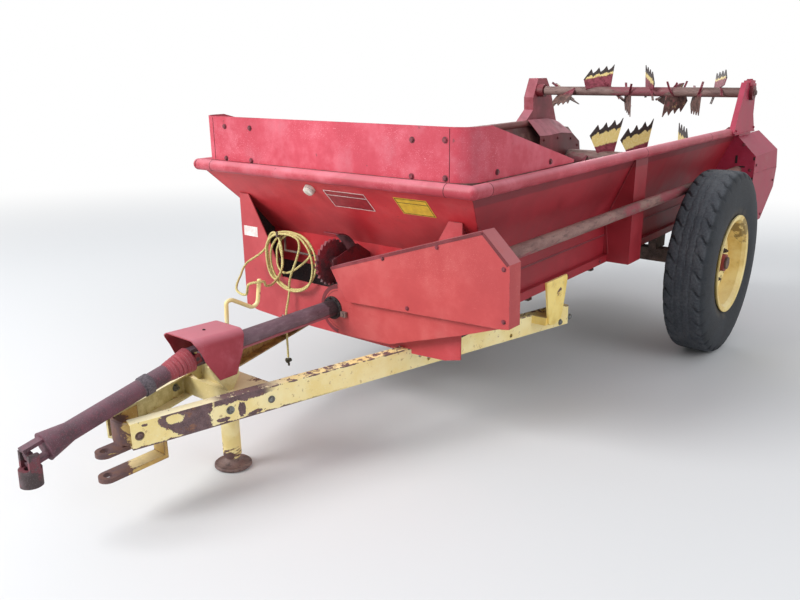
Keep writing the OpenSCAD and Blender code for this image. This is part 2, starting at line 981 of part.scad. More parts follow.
bead_r = 250;
tread_w = 206;

// Half section of the tyre, from the middle plane outwards: distance from middle, radius
module tyre() {
    color("#26262a")
        translate([wheel_x, 0, axle_z])
            rotate([0, 90, 0])
                rotate_extrude($fn = 96)
                    difference() {
                        polygon([
                            [bead_r, -84], [bead_r + 22, -96], [330, -tyre_w / 2 + 4],
                            [390, -tyre_w / 2], [450, -tyre_w / 2 + 4], [485, -tread_w / 2],
                            [tyre_r - 6, -tread_w / 2 + 14], [tyre_r, -50], [tyre_r, 50],
                            [tyre_r - 6, tread_w / 2 - 14], [485, tread_w / 2],
                            [450, tyre_w / 2 - 4], [390, tyre_w / 2], [330, tyre_w / 2 - 4],
                            [bead_r + 22, 96], [bead_r, 84]
                        ]);
                    }
}

hub_r = 62;

// Rim and dished disc
module rim() {
    color("#d8b02f")
        translate([wheel_x, 0, axle_z])
            rotate([0, 90, 0])
                rotate_extrude($fn = 96)
                    polygon([
                        [hub_r + 0.3, 22], [150, 28], [215, -8], [bead_r - 14, -8],
                        [bead_r - 14, -88], [bead_r - 4, -108], [rim_r, -112], [rim_r, -104],
                        [bead_r + 4, -100], [bead_r - 0.3, -88], [bead_r - 0.3, 88],
                        [bead_r + 4, 100], [rim_r, 104], [rim_r, 112], [bead_r - 4, 108],
                        [bead_r - 14, 88], [bead_r - 14, 0], [220, 0], [153, 36],
                        [hub_r + 0.3, 30]
                    ]);
}

module hub() {
    color("#a5242c")
        translate([wheel_x, 0, axle_z])
            rotate([0, 90, 0])
                difference() {
                    union() {
                        translate([0, 0, -90])
                            cylinder(r = 48, h = 160);
                        translate([0, 0, 16])
                            cylinder(r = hub_r, h = 24);
                    }
                    translate([0, 0, -100])
                        cylinder(r = spindle_r + gap, h = 200);
                }
}

// Apron

module chain_loop() {
    difference() {
        union() {
            translate([apron_front_y, -apron_r - chain_t])
                square([apron_rear_y - apron_front_y, 2 * (apron_r + chain_t)]);
            for (y = [apron_front_y, apron_rear_y])
                translate([y, 0])
                    circle(r = apron_r + chain_t);
        }
        translate([apron_front_y, -apron_r])
            square([apron_rear_y - apron_front_y, 2 * apron_r]);
        for (y = [apron_front_y, apron_rear_y])
            translate([y, 0])
                circle(r = apron_r);
    }
}

// Two endless chains that carry slats over the floor and back under it
module apron() {
    color("#5d4a42")
        union() {
            for (side = [-1, 1])
                translate([0, 0, apron_z])
                    along_x(side * chain_x - chain_w / 2, side * chain_x + chain_w / 2)
                        chain_loop();
            for (y = [apron_front_y + 20 : slat_pitch : apron_rear_y - 10])
                for (z = [apron_z + apron_r + chain_t, apron_z - apron_r - chain_t - slat_h])
                    translate([-slat_x, y, z])
                        cube([2 * slat_x, slat_w, slat_h]);
        }
}

apron_shaft_r = 19;
drum_w = 36;
apron_bearing = [14, 90, sill_top_z - sill_bottom_z];

// Cross shafts with a drum under each chain, held by a bearing block on each sill
module apron_shafts() {
    color("#6a5a52")
        for (y = [apron_front_y, apron_rear_y])
            union() {
                bar_x(apron_shaft_r, -sill_in_x + 4, sill_in_x - 4, y, apron_z);
                for (side = [-1, 1])
                    mirrored(side) {
                        bar_x(apron_r - 0.3, chain_x - drum_w / 2, chain_x + drum_w / 2, y, apron_z);
                        translate([sill_in_x - apron_bearing[0], y - apron_bearing[1] / 2, sill_bottom_z])
                            cube(apron_bearing);
                    }
            }
}

ratchet_at = [-2100, 790];
ratchet_x = -37;
ratchet_r = 100;
ratchet_teeth = 24;
ratchet_t = 12;
guard_r = 122;
guard_t = 3;
ratchet_arm_x = [-72, 2];
arm_t = 6;

arm_low_z = 770;
arm_high_z = 810;

// Outline of a toothed disc; lean is how far round its pitch a tooth's tip stands
function toothed(r, teeth, depth, lean) = [
    for (i = [0 : teeth - 1])
        each [
            (r - depth) * [cos(i * 360 / teeth), sin(i * 360 / teeth)],
            r * [cos((i + lean) * 360 / teeth), sin((i + lean) * 360 / teeth)]
        ]
];

// Toothed feed disc on its cross shaft, two arms back to the front wall and a band over it
module apron_ratchet() {
    color("#4a2226")
        union() {
            along_x(ratchet_x, ratchet_x + ratchet_t)
                translate(ratchet_at)
                    polygon(toothed(ratchet_r, ratchet_teeth, 12, 0.15));
            bar_x(26, ratchet_arm_x[0], ratchet_arm_x[1] + arm_t, ratchet_at[0], ratchet_at[1]);
            for (x = ratchet_arm_x)
                along_x(x, x + arm_t)
                    polygon([
                        [ratchet_at[0] - 32, arm_low_z], [ratchet_at[0] - 32, arm_high_z],
                        [ratchet_at[0] + 116, arm_high_z + 42], [ratchet_at[0] + 124, arm_high_z + 42],
                        [foot_face_y(arm_high_z - 10), arm_high_z - 10], [foot_face_y(arm_low_z), arm_low_z]
                    ]);
            along_x(ratchet_arm_x[0], ratchet_arm_x[1] + arm_t)
                difference() {
                    translate(ratchet_at)
                        circle(r = guard_r + guard_t);
                    translate(ratchet_at)
                        circle(r = guard_r);
                    polygon([
                        [-far, -far], [far, -far], [far, 822], [ratchet_at[0], 822],
                        [ratchet_at[0] - 60, far], [-far, far]
                    ]);
                }
        }
}

// Trim and rope

hook_x = -320;
hook_y = -2094;
hook_tip_y = -2140;
hook_low_z = 800;
hook_high_z = 871;
hook_r = 5;

// Bar from the feed disc's arm, bent up and forward through the coil of rope
module rope_hook() {
    color("#6b6157")
        union() {
            bar_x(hook_r, hook_x, ratchet_arm_x[0], hook_y, hook_low_z);
            translate([hook_x, hook_y, hook_low_z])
                cylinder(r = hook_r, h = hook_high_z - hook_low_z);
            bar_y(hook_r, hook_tip_y, hook_y, hook_x, hook_high_z);
            translate([hook_x, hook_tip_y, hook_high_z])
                cylinder(r = hook_r, h = 20);
            for (p = [[hook_y, hook_low_z], [hook_y, hook_high_z], [hook_tip_y, hook_high_z]])
                translate([hook_x, p[0], p[1]])
                    sphere(r = hook_r + 0.4);
        }
}

panel_lean = atan2(front_crease_y - front_top_y, panel_top[1] - crease_z);
cap_y = -2150;
function panel_z(y) = crease_z + (front_crease_y - y) / tan(panel_lean);

module front_cap() {
    color("#e8e2d8")
        translate([-90, cap_y, panel_z(cap_y)])
            rotate([90 + panel_lean, 0, 0])
                cylinder(r = 24, h = 26);
}

coil_at = [-285, -2118, 765];
coil_r = 130;

module rope_coil() {
    color("#d8cf8a")
        translate(coil_at)
            rotate([90, 0, 0])
                rotate_extrude($fn = 72)
                    translate([coil_r - 12, -12])
                        square([24, 24]);
}

// Tube swept along a route of points, with a flat end at each end
function ring_frame(p, i) =
    let (d = unit(p[min(i + 1, len(p) - 1)] - p[max(i - 1, 0)]),
         a = unit(cross(d, [0.31, 0.9, 0.3])))
    [a, cross(d, a)];
function ring_points(p, i, r, sides) =
    let (f = ring_frame(p, i))
    [for (k = [0 : sides - 1]) p[i] + r * (cos(360 * k / sides) * f[0] + sin(360 * k / sides) * f[1])];

module swept_tube(p, r, sides) {
    rings = len(p);
    polyhedron(
        points = [for (i = [0 : rings - 1]) each ring_points(p, i, r, sides)],
        faces = concat(
            [[for (k = [0 : sides - 1]) k]],
            [[for (k = [sides - 1 : -1 : 0]) (rings - 1) * sides + k]],
            [for (i = [0 : rings - 2], k = [0 : sides - 1], half = [0, 1])
                half == 0
                    ? [i * sides + k, (i + 1) * sides + k, (i + 1) * sides + (k + 1) % sides]
                    : [i * sides + k, (i + 1) * sides + (k + 1) % sides, i * sides + (k + 1) % sides]]
        )
    );
}

rope_tail_route = [
    [-285, -2118, 622], [-287, -2120, 600], [-291, -2124, 570], [-297, -2128, 540],
    [-301, -2130, 510], [-303, -2131, 480], [-304, -2131, 450], [-303, -2131, 420],
    [-303, -2131, 390], [-302, -2131, 360], [-302, -2131, 330], [-302, -2131, 300]
];

rope_strand_route = [
    [-428, -2118, 765], [-450, -2128, 762], [-474, -2150, 750], [-490, -2175, 735],
    [-480, -2210, 715], [-440, -2260, 700], [-380, -2330, 690], [-300, -2400, 690],
    [-220, -2440, 695], [-150, -2465, 705], [-96, -2480, 735], [-60, -2489, 782]
];

module rope_tail() {
    color("#d8cf8a")
        swept_tube(rope_tail_route, rope_r, 8);
}

module rope_strand() {
    color("#d8cf8a")
        swept_tube(rope_strand_route, rope_r, 8);
}

// Moving pieces

module jack_leg() {
    color("#d9b13b")
        difference() {
            translate([0, jack_y, foot_z + jack_foot_h + 15])
                cylinder(r = jack_r, h = jack_top_z - foot_z - jack_foot_h - 41);
            translate([0, jack_y, foot_z + jack_foot_h + 40])
                cylinder(r = jack_r - 6, h = jack_top_z);
        }
}

// Where a level-frame point comes to once the machine is parked
function parked_at(y, z) = [
    origin_y + y * cos(nose_down) - (z - axle_z) * sin(nose_down),
    axle_z + y * sin(nose_down) + (z - axle_z) * cos(nose_down)
];

foot_z = axle_z - (axle_z + jack_y * sin(nose_down)) / cos(nose_down);

// Dished foot, level on the ground
module jack_foot() {
    color("#5e4138")
        translate([0, parked_at(jack_y, foot_z)[0], 0])
            difference() {
                union() {
                    cylinder(r = jack_foot_r, h = 7);
                    translate([0, 0, 7])
                        cylinder(r1 = jack_foot_r - 6, r2 = jack_r + 4, h = jack_foot_h - 7);
                    translate([0, 0, jack_foot_h])
                        cylinder(r = jack_r - 8, h = 14);
                }
            }
}

// The shaft's own frame: from the hood's joint towards the hitch along +Z
module on_shaft() {
    translate([0, hood_joint[0], hood_joint[1]])
        rotate([90 + shaft_up, 0, 0])
            children();
}

tube_r = 32;
bell_front = 17;
bell_len = 95;
bell_r = 46;
bell_t = 4;
bell_deep = 42;
end_bell_r = 48;
collar_z = 182;
collar_len = 30;

trunnion_r = 8;
ear_t = 12;
ear_in_x = 22;
ear_w = 32;
ear_tip = 14;
yoke_r = 34;

// Two ears across X that hold a cross-piece at the origin, reaching back to z1
module ears(z1, holes) {
    difference() {
        for (x = [ear_in_x, -ear_in_x - ear_t])
            translate([x, -ear_w / 2, -ear_tip])
                cube([ear_t, ear_w, z1 + ear_tip]);
        if (holes)
            translate([-2 * yoke_r, 0, 0])
                rotate([0, 90, 0])
                    cylinder(r = trunnion_r + gap, h = 4 * yoke_r);
    }
}

// Cross-piece of a universal joint
module spider() {
    union() {
        for (turn = [[0, 90, 0], [90, 0, 0]])
            rotate(turn)
                translate([0, 0, -ear_in_x - ear_t])
                    cylinder(r = trunnion_r, h = 2 * (ear_in_x + ear_t));
        cube(22, center = true);
    }
}

// Flared guard round the joint, with three ring grooves, open towards the hood
module bell() {
    slope = (bell_r - tube_r - sliver) / bell_len;
    rotate_extrude()
        polygon(concat(
            [[0, bell_front + bell_deep], [bell_r - bell_t - slope * bell_deep, bell_front + bell_deep],
             [bell_r - bell_t, bell_front], [bell_r, bell_front]],
            [for (z = [34, 50, 66]) each [
                [bell_r - slope * z, bell_front + z], [bell_r - slope * z - 3, bell_front + z + 1],
                [bell_r - slope * z - 3, bell_front + z + 5], [bell_r - slope * z, bell_front + z + 6]
            ]],
            [[tube_r + sliver, bell_front + bell_len], [0, bell_front + bell_len]]
        ));
}

module pto_shaft() {
    color("#6b3a44")
        on_shaft()
            union() {
                ears(60, true);
                translate([0, 0, 50])
                    cylinder(r = tube_r, h = joint_span - 100);
                bell();
                translate([0, 0, collar_z])
                    cylinder(r = tube_r + 4, h = collar_len);
                translate([0, 0, joint_span - 136])
                    cylinder(r1 = tube_r, r2 = end_bell_r, h = 86);
                translate([0, 0, joint_span])
                    rotate([180, 0, 90])
                        ears(60, false);
                translate([0, 0, joint_span])
                    spider();
            }
}

end_yoke_z = 39;
end_yoke_len = 56;

module pto_end_yoke() {
    color("#4a2c2c")
        translate([0, end_joint[0], end_joint[1]])
            rotate([180 - nose_down, 0, 0])
                difference() {
                    union() {
                        translate([0, 0, end_yoke_z])
                            cylinder(r = yoke_r, h = end_yoke_len);
                        ears(end_yoke_z + 4, true);
                    }
                    translate([0, 0, end_yoke_z - sliver])
                        cylinder(d = pto_bore_d, h = end_yoke_len + 2);
                }
}

parked() box_floor();
parked() floor_crossmembers();
parked() sill();  // sill_left
parked() mirrored(-1) sill();  // sill_right
parked() side_panel();  // side_panel_left
parked() mirrored(-1) side_panel();  // side_panel_right
parked() front_panel();
parked() front_bulkhead();
parked() top_rail();
parked() front_board();
parked() side_post();  // side_post_left
parked() mirrored(-1) side_post();  // side_post_right
parked() drawbar_leg();  // drawbar_leg_left
parked() mirrored(-1) drawbar_leg();  // drawbar_leg_right
parked() drawbar_cross();
parked() hitch_nose();
parked() leg_hanger();  // leg_hanger_left
parked() mirrored(-1) leg_hanger();  // leg_hanger_right
parked() bulkhead_brackets();
parked() jack_tube();
parked() jack_crank();
parked() pto_hood();
parked() carrier_bearing();
parked() driveline_tube();
parked() chain_shield();
parked() chain_shield_pan();
parked() side_shaft_tube();
parked() rear_chain_shield();
parked() rear_shield_bracket();
parked() beater_post();  // beater_post_left
parked() mirrored(-1) beater_house();  // beater_post_right
parked() beater_bearings();
parked() axle();
parked() apron();
parked() apron_shafts();
parked() apron_ratchet();
parked() rope_hook();
parked() front_cap();
parked() rope_coil();
parked() rope_tail();
parked() rope_strand();
parked() tyre();  // tyre_left
parked() rim();  // rim_left
parked() hub();  // hub_left
parked() mirrored(-1) tyre();  // tyre_right
parked() mirrored(-1) rim();  // rim_right
parked() mirrored(-1) hub();  // hub_right
parked() top_beater_tube();
parked() top_beater_paddles();
parked() main_beater_tube();
parked() main_beater_paddles();
parked() jack_leg();
jack_foot();
parked() pto_shaft();
parked() pto_end_yoke();
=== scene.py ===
"""Looks of a towed box manure spreader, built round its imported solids. Lengths are in metres."""

import math
import random

import bmesh
import bpy
from mathutils import Matrix, Vector


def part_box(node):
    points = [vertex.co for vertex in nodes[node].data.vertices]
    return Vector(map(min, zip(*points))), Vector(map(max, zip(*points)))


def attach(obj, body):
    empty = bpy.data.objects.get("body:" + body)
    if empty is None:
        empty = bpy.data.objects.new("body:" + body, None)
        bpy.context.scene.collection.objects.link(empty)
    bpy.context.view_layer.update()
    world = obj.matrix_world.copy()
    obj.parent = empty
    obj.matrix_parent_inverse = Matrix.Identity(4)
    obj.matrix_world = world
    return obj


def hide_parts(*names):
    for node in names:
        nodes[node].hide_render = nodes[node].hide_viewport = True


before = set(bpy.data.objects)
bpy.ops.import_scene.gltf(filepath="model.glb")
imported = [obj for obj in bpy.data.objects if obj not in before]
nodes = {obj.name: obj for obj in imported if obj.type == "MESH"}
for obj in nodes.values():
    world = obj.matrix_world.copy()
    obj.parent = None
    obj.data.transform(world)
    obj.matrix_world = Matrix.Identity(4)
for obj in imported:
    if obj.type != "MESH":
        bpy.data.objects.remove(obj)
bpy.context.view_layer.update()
scene = bpy.context.scene
scene.view_settings.view_transform = "Standard"

# The machine is laid out level, with Y = 0 at the axle, and then tipped onto its jack.
TILT = math.radians(2.4)
AXLE_Z = 0.510
ORIGIN_Y = 1.0081
PARKED = (
    Matrix.Translation((0, ORIGIN_Y, AXLE_Z))
    @ Matrix.Rotation(TILT, 4, "X")
    @ Matrix.Translation((0, 0, -AXLE_Z))
)
UNPARK = PARKED.inverted()
SIDES = ((1, "left"), (-1, "right"))


# ---- Camera

cam_data = bpy.data.cameras.new("camera")
cam_data.sensor_width = 36
cam_data.lens = 34.05
cam_data.clip_start = 0.05
cam_data.clip_end = 200
camera = bpy.data.objects.new("camera", cam_data)
scene.collection.objects.link(camera)
CAM_PLACE = (2.1408, -3.3861, 1.3885)
CAM_YAW, CAM_PITCH, CAM_ROLL = (math.radians(a) for a in (38.246, 15.143, 0.939))
forward = Vector(
    (
        -math.sin(CAM_YAW) * math.cos(CAM_PITCH),
        math.cos(CAM_YAW) * math.cos(CAM_PITCH),
        -math.sin(CAM_PITCH),
    )
)
right = forward.cross(Vector((0, 0, 1))).normalized()
up = right.cross(forward)
rolled_right = right * math.cos(CAM_ROLL) + up * math.sin(CAM_ROLL)
rolled_up = up * math.cos(CAM_ROLL) - right * math.sin(CAM_ROLL)
turn = Matrix((rolled_right, rolled_up, -forward)).transposed()
camera.matrix_world = Matrix.Translation(CAM_PLACE) @ turn.to_4x4()
scene.camera = camera


# ---- Skins and bars


def skin(bm, rings, caps=True, loop=False):
    """Faces between rings of corners that follow each other; a loop also joins the last to the first."""
    for a, b in zip(rings, rings[1:] + (rings[:1] if loop else [])):
        n = len(a)
        for i in range(n):
            j = (i + 1) % n
            bm.faces.new((a[i], a[j], b[j], b[i]))
    if caps and not loop:
        bm.faces.new(rings[0][::-1])
        bm.faces.new(rings[-1])


def tube(bm, points, radius, sides=10):
    """Bar along a line of points; radius is a number, a list of them, or a function of run and angle."""
    pts = [Vector(p) for p in points]
    rings, side, run = [], None, 0.0
    for i, p in enumerate(pts):
        d = (pts[min(i + 1, len(pts) - 1)] - pts[max(i - 1, 0)]).normalized()
        side = d.orthogonal().normalized() if side is None else side
        side = (side - d * side.dot(d)).normalized()
        other = d.cross(side)
        run += (p - pts[i - 1]).length if i else 0.0
        ring = []
        for k in range(sides):
            a = 2 * math.pi * k / sides
            r = radius(run, a) if callable(radius) else radius[i] if isinstance(radius, list) else radius
            ring.append(bm.verts.new(p + side * (r * math.cos(a)) + other * (r * math.sin(a))))
        rings.append(ring)
    skin(bm, rings)


# ---- Rope: from the hook to the crank's handle and round it, back to the coil, then down to a knot

# The points are in millimetres
ROPE_OUT = [
    (-326, -2118, 866), (-325, -2122, 840), (-318, -2127, 811), (-304, -2132, 783), (-292, -2140, 756),
    (-281, -2156, 738), (-267, -2180, 723), (-251, -2206, 715), (-235, -2231, 710), (-216, -2259, 709),
    (-197, -2287, 710), (-177, -2314, 714), (-156, -2341, 721), (-138, -2366, 728), (-119, -2391, 736),
    (-99, -2415, 747), (-77, -2436, 761), (-56, -2456, 775), (-40, -2472, 785), (-33, -2491, 790),
    (-39, -2510, 791), (-55, -2522, 788), (-74, -2522, 779), (-91, -2514, 764),
]
ROPE_STRAND = [
    (-108, -2502, 746), (-132, -2485, 727), (-165, -2464, 709), (-220, -2440, 695), (-300, -2400, 690),
    (-380, -2330, 690), (-440, -2260, 700), (-480, -2210, 715), (-490, -2175, 735), (-470, -2150, 755),
    (-446, -2130, 776), (-424, -2114, 804), (-412, -2106, 829),
]
# Columns: middle's X and Z, half width, half height of one turn of the coil
ROPE_TURNS = [
    (-0.283, 0.818, 0.134, 0.072), (-0.237, 0.767, 0.125, 0.122), (-0.262, 0.750, 0.136, 0.137),
    (-0.356, 0.776, 0.052, 0.106), (-0.262, 0.790, 0.112, 0.096),
]
ROPE_LEAVES = [
    (-191, -2137, 866), (-184, -2139, 846), (-188, -2140, 822), (-202, -2141, 786), (-222, -2141, 748),
    (-243, -2139, 711), (-261, -2134, 678), (-276, -2125, 648),
]
ROPE_TAIL = [
    (-285, -2118, 622), (-287, -2120, 600), (-291, -2124, 570), (-297, -2128, 540), (-301, -2130, 510),
    (-303, -2131, 480), (-304, -2131, 450), (-303, -2131, 420), (-303, -2131, 390), (-302, -2131, 360),
    (-302, -2131, 330), (-302, -2131, 300),
]
ROPE_R = 0.005
ROPE_STRANDS = 3
ROPE_LAY = 0.034
POINT_GAP = 0.0045
TURN_STEPS = 30
# Angles at which the coil starts and ends, its first turn's Y, and how far a turn lies ahead of the last one
TURN_START, TURN_END = 168.0, 62.0
COIL_Y, TURN_LEAD = -2.103, 0.0075
WAVE = 0.0022


def smooth_line(points, steps):
    """Points along a smooth curve through the given ones."""
    pts = [Vector(p) for p in points]
    made = []
    for i in range(len(pts) - 1):
        p0, p1, p2, p3 = pts[max(i - 1, 0)], pts[i], pts[i + 1], pts[min(i + 2, len(pts) - 1)]
        for k in range(steps):
            t = k / steps
            made.append(0.5 * ((2 * p1) + (p2 - p0) * t + (2 * p0 - 5 * p1 + 4 * p2 - p3) * t * t
                               + (3 * p1 - p0 - 3 * p2 + p3) * t ** 3))
    made.append(pts[-1])
    return made


def even_line(points, gap):
    """The same line with its points a fixed gap apart."""
    made = [points[0]]
    left = gap
    for a, b in zip(points, points[1:]):
        step = (b - a).length
        while step >= left > 0:
            a = a.lerp(b, left / step)
            made.append(a.copy())
            step = (b - a).length
            left = gap
        left -= step
    return made


def rope_route():
    """Points of the whole rope, a fixed gap apart."""
    line = [Vector(p) / 1000 for p in ROPE_OUT + ROPE_STRAND]
    last = len(ROPE_TURNS) - 1
    total = last * 360.0 + TURN_START - TURN_END
    steps = int(total / 360.0 * TURN_STEPS)
    for i in range(1, steps + 1):
        turned = total * i / steps
        k = min(int(turned / 360.0), last)
        run = turned / 360.0 - k
        a, b = ROPE_TURNS[k], ROPE_TURNS[min(k + 1, last)]
        # A turn blends into the next over its last part; the narrow one does so over the whole last turn
        part = min(1.0, max(0.0, (run - 0.55) / 0.45))
        if k == last - 1:
            part = 0.0
        elif k == last:
            a = ROPE_TURNS[k - 1]
            part = min(1.0, run / ((TURN_START - TURN_END) / 360.0))
        part = part * part * (3 - 2 * part)
        x, z, wide, high = (p + (q - p) * part for p, q in zip(a, b))
        angle = math.radians(TURN_START - turned)
        wave = WAVE * math.sin(2.3 * angle + 1.7 * k)
        line.append(Vector((x + (wide + wave) * math.cos(angle), COIL_Y - TURN_LEAD * turned / 360.0,
                            z + (high + wave) * math.sin(angle))))
    line += [Vector(p) / 1000 for p in ROPE_LEAVES + ROPE_TAIL]
    return even_line(smooth_line(line, 8), POINT_GAP)


def laid(radius):
    """Radius of laid rope by run and angle: one lobe a strand, turning along it."""
    def at(run, angle):
        return radius * (0.96 + 0.1 * math.cos(ROPE_STRANDS * (angle - 2 * math.pi * run / ROPE_LAY)))
    return at


def rope_piece(name, *lines):
    """Laid rope along each line, with the radius that comes with it."""
    bm = bmesh.new()
    for line, radius in lines:
        tube(bm, line, laid(radius), ROPE_STRANDS * 4)
    for face in bm.faces:
        face.smooth = True
    mesh = bpy.data.meshes.new(name)
    bm.to_mesh(mesh)
    bm.free()
    mesh.transform(PARKED)
    piece = bpy.data.objects.new(name, mesh)
    scene.collection.objects.link(piece)
    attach(piece, "frame")
    return piece


rope_line = rope_route()
rope = rope_piece("rope_line", (rope_line, ROPE_R))
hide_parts("rope_coil", "rope_tail", "rope_strand")

KNOT_SIZE = 0.0042
KNOT_END = ((0, 0, -0.012), (0.003, -0.002, -0.026), (0.001, 0.001, -0.042))
knot_at = rope_line[-1]
knot_loop = []
for i in range(61):
    a = 2 * math.pi * i / 60 * 0.97
    knot_loop.append(knot_at + Vector((
        KNOT_SIZE * (math.sin(a) + 2 * math.sin(2 * a)),
        KNOT_SIZE * (math.cos(a) - 2 * math.cos(2 * a)),
        -0.010 + 0.0062 * math.sin(3 * a) - 0.004 * a / math.pi,
    )))
knot = rope_piece("rope_knot", (knot_loop, ROPE_R * 0.95),
                  (even_line([knot_at + Vector(p) for p in KNOT_END], 0.004), ROPE_R))


# ---- Shader helper


def srgb(text):
    """Linear colour of a hex text."""
    parts = [int(text[i : i + 2], 16) / 255 for i in (1, 3, 5)]
    return [p / 12.92 if p <= 0.04045 else ((p + 0.055) / 1.055) ** 2.4 for p in parts] + [1.0]


def operation(kind, swap=False):
    """Method that adds a math node for an operator."""
    def run(self, other):
        return self.tree.math(kind, *((other, self) if swap else (self, other)))
    return run


class Value:
    """A node's output; arithmetic on it adds nodes."""

    def __init__(self, tree, socket):
        self.tree = tree
        self.socket = socket

    __add__ = __radd__ = operation("ADD")
    __mul__ = __rmul__ = operation("MULTIPLY")
    __sub__, __rsub__ = operation("SUBTRACT"), operation("SUBTRACT", True)
    __truediv__ = operation("DIVIDE")
    at_most, at_least = operation("MINIMUM"), operation("MAXIMUM")


class Tree:
    """The nodes of a material or a world, with short calls that add them."""

    def __init__(self, owner):
        owner.use_nodes = True
        self.tree = owner.node_tree
        self.tree.nodes.clear()

    def new(self, kind, inputs=None, **settings):
        node = self.tree.nodes.new("ShaderNode" + kind)
        for key, value in settings.items():
            setattr(node, key, value)
        for key, value in (inputs or {}).items():
            self.put(node.inputs[key], value)
        return node

    def put(self, socket, value):
        """Links or sets an input; a text is a hex colour."""
        if isinstance(value, Value):
            value = value.socket
        if isinstance(value, bpy.types.NodeSocket):
            self.tree.links.new(value, socket)
        else:
            socket.default_value = srgb(value) if isinstance(value, str) else value

    def math(self, kind, a, b=0.0):
        return Value(self, self.new("Math", {0: a, 1: b}, operation=kind).outputs[0])

    def seen(self):
        """1 for what the camera sees, straight or by a mirror or glass; 0 for what only lights the scene."""
        rays = self.new("LightPath").outputs
        indirect = self.math("MAXIMUM", rays["Is Glossy Ray"], rays["Is Transmission Ray"])
        return self.math("MAXIMUM", rays["Is Camera Ray"], indirect)


class Shader(Tree):
    """One procedural material, its patterns laid out in the level frame."""

    def __init__(self, name, rough=0.5, metal=0.0):
        self.mat = bpy.data.materials.new(name)
        super().__init__(self.mat)
        self.bsdf = self.new("BsdfPrincipled", {"Roughness": rough, "Metallic": metal})
        self.out = self.new("OutputMaterial", {0: self.bsdf.outputs[0]})
        coords = self.new("TexCoord").outputs
        self.co, self.normal = coords["Object"], coords["Normal"]
        self.level = self.new("Mapping", {"Vector": self.co, "Location": UNPARK.translation,
                                          "Rotation": UNPARK.to_euler()}).outputs[0]

    def noise(self, scale, detail=3.0, rough=0.55, stretch=None, distort=0.0):
        co = self.level
        if stretch:
            co = self.new("Mapping", {"Vector": co, "Scale": stretch}).outputs[0]
        node = self.new("TexNoise", {"Vector": co, "Scale": scale, "Detail": detail, "Roughness": rough,
                                     "Distortion": distort})
        return Value(self, node.outputs[0])

    def step(self, value, low, high, to=(0.0, 1.0)):
        """Smooth step from to[0] at low to to[1] at high."""
        names = ("Value", "From Min", "From Max", "To Min", "To Max")
        inputs = dict(zip(names, (value, low, high, *to)))
        return Value(self, self.new("MapRange", inputs, interpolation_type="SMOOTHSTEP").outputs[0])

    def between(self, value, a, b, c, d):
        """Rises from a to b and falls from c to d."""
        return self.step(value, a, b) * self.step(value, c, d, (1.0, 0.0))

    def mix(self, share, a, b):
        return Value(self, self.new("Mix", {0: share, 6: a, 7: b}, data_type="RGBA").outputs[2])

    def tones(self, value, low, high, a, b):
        """Colour a where value is below low, colour b where it is above high."""
        return self.mix(self.step(value, low, high), a, b)

    def veil(self, colour, value, low, high, share, tint):
        """Colour with a share of tint over it where value is above high."""
        return self.mix(self.step(value, low, high) * share, colour, tint)

    def axis(self, name, vector=None):
        """One part of a vector, or of the place in the level frame."""
        node = self.new("SeparateXYZ", {0: self.level if vector is None else vector})
        return Value(self, node.outputs["XYZ".index(name)])

    def facing(self, name):
        return self.axis(name, self.normal)

    def blob(self, place, radius, soft=0.7):
        """1 near a place in the level frame, 0 beyond radius."""
        node = self.new("VectorMath", {0: self.level, 1: place}, operation="DISTANCE")
        return self.step(node.outputs["Value"], radius * (1 - soft), radius, (1.0, 0.0))

    def edges(self, radius, low=0.02, high=0.25):
        """1 on sharp edges."""
        rounded = self.new("Bevel", {"Radius": radius}, samples=4).outputs[0]
        flat = self.new("NewGeometry").outputs["Normal"]
        node = self.new("VectorMath", {0: rounded, 1: flat}, operation="DOT_PRODUCT")
        return self.step(1.0 - Value(self, node.outputs["Value"]), low, high)

    def done(self, colour, rough, height, strength, depth):
        bump = self.new("Bump", {"Height": height, "Strength": strength, "Distance": depth})
        for name, value in (("Base Color", colour), ("Roughness", rough), ("Normal", bump.outputs[0])):
            self.put(self.bsdf.inputs[name], value)
        return self.mat


# ---- Materials

# Left drawbar leg: X and Y of its start, its direction in X and Y, and its lower face's height
LEG_START = (0.075, -3.170)
LEG_DIR = (0.2595, 0.9657)
LEG_Z = 0.390
# Y and Z of the beaters' shafts, and the count of teeth on a paddle
TOP_BEATER = (0.960, 1.400)
MAIN_BEATER = (1.180, 0.900)
TEETH = 4


